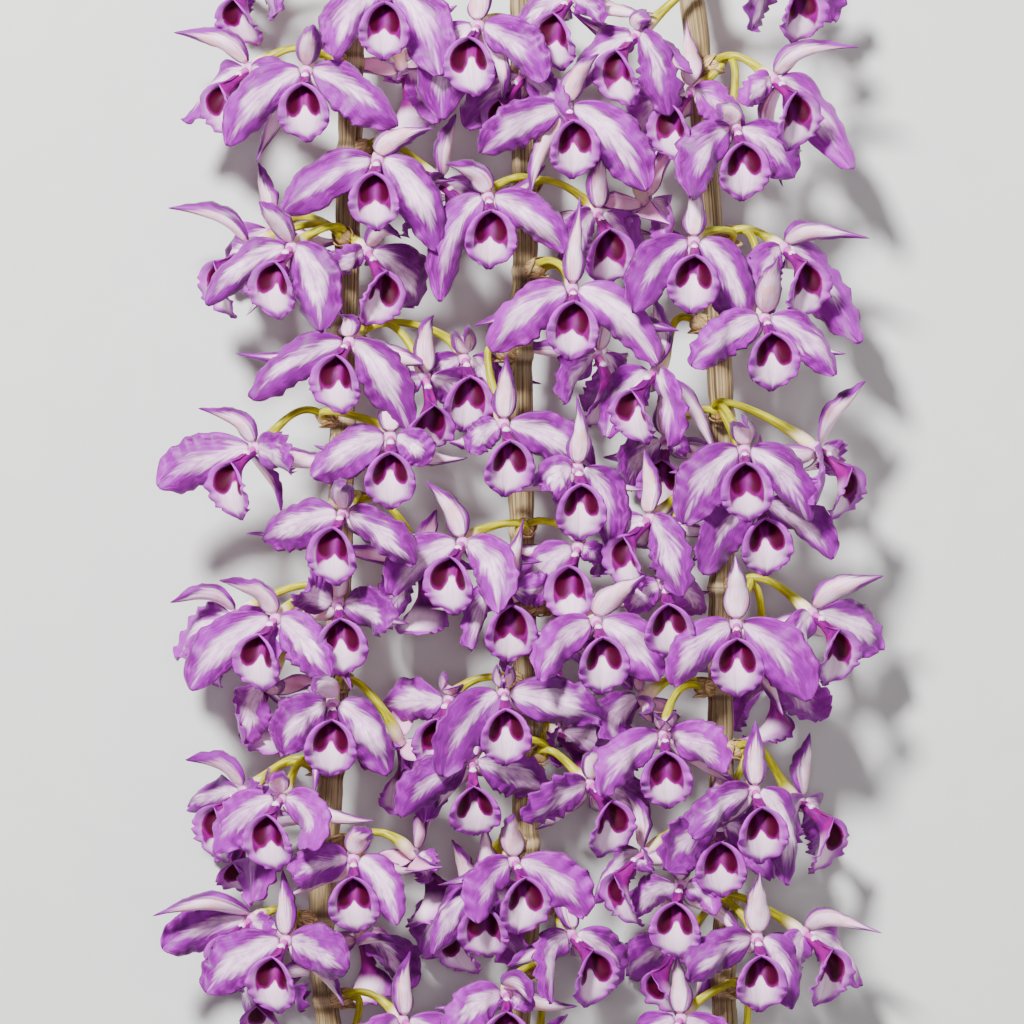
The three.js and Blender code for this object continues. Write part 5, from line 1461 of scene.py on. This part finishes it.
PHOTO_WIDTH = 0.3891  # metres of the plant's plan across the photograph
VIEW_HEIGHT = 3.0
BLOOM_HEIGHT = 0.055  # height at which the photograph's scale holds
SENSOR_WIDTH = 36
VIEW_REACH = 20  # how far the camera sees
FLOOR_REACH = 4.0
FLOOR_GAP = 0.0002  # how far the floor lies under the plant
LIGHT_TARGET = (0, 0, 0.03)
# Each light: its place, width and power.
LIGHTS = {
    "key": ((-0.6, 1.05, 1.7), 0.36, 134),
    "fill": ((1.1, -0.5, 1.4), 1.2, 6),
    "front": ((0.1, -0.1, 2.4), 0.6, 10),
}
SKY_STRENGTH = 0.13


def make_floor():
    mesh = bpy.data.meshes.new("floor")
    corners = [(-1, -1), (1, -1), (1, 1), (-1, 1)]
    places = [(x * FLOOR_REACH, y * FLOOR_REACH, -FLOOR_GAP) for x, y in corners]
    mesh.from_pydata(places, [], [(0, 1, 2, 3)])
    floor = bpy.data.objects.new("floor", mesh)
    bpy.context.scene.collection.objects.link(floor)
    mesh.materials.append(floor_paint())


def make_lights():
    for name, (place, width, power) in LIGHTS.items():
        lamp = bpy.data.lights.new(name, "AREA")
        lamp.shape = "DISK"
        lamp.size = width
        lamp.energy = power
        light = bpy.data.objects.new(name, lamp)
        light.location = place
        aim = Vector(LIGHT_TARGET) - light.location
        light.rotation_euler = aim.to_track_quat("-Z", "Y").to_euler()
        bpy.context.scene.collection.objects.link(light)
    world = bpy.data.worlds.new("studio")
    world.use_nodes = True
    background = world.node_tree.nodes["Background"]
    background.inputs["Color"].default_value = SKY
    background.inputs["Strength"].default_value = SKY_STRENGTH
    bpy.context.scene.world = world


def make_camera():
    """Straight over the plan point at the photograph's middle, X to the right and Y up."""
    lens = bpy.data.cameras.new("camera")
    lens.sensor_width = SENSOR_WIDTH
    lens.lens = SENSOR_WIDTH * (VIEW_HEIGHT - BLOOM_HEIGHT) / PHOTO_WIDTH
    lens.clip_end = VIEW_REACH
    camera = bpy.data.objects.new("camera", lens)
    camera.location = (-PLAN_ORIGIN[0] * MM, -PLAN_ORIGIN[1] * MM, VIEW_HEIGHT)
    bpy.context.scene.collection.objects.link(camera)
    bpy.context.scene.camera = camera


# ---------------------------------------------------------------- the scene


def main():
    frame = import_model()
    make_camera()
    make_lights()
    make_floor()
    make_sprays(frame["nodes"], [
        petal_paint(), sepal_paint(), lip_paint(), column_paint(), pedicel_paint(), bract_paint(),
    ])
    straw = cane_paint("cane_straw", CANE_LIGHT, CANE_DARK)
    for name in CANES:
        make_cane(name, straw)
    make_rhizome(cane_paint("rhizome_wood", RHIZOME_LIGHT, RHIZOME_DARK), root_paint())


main()
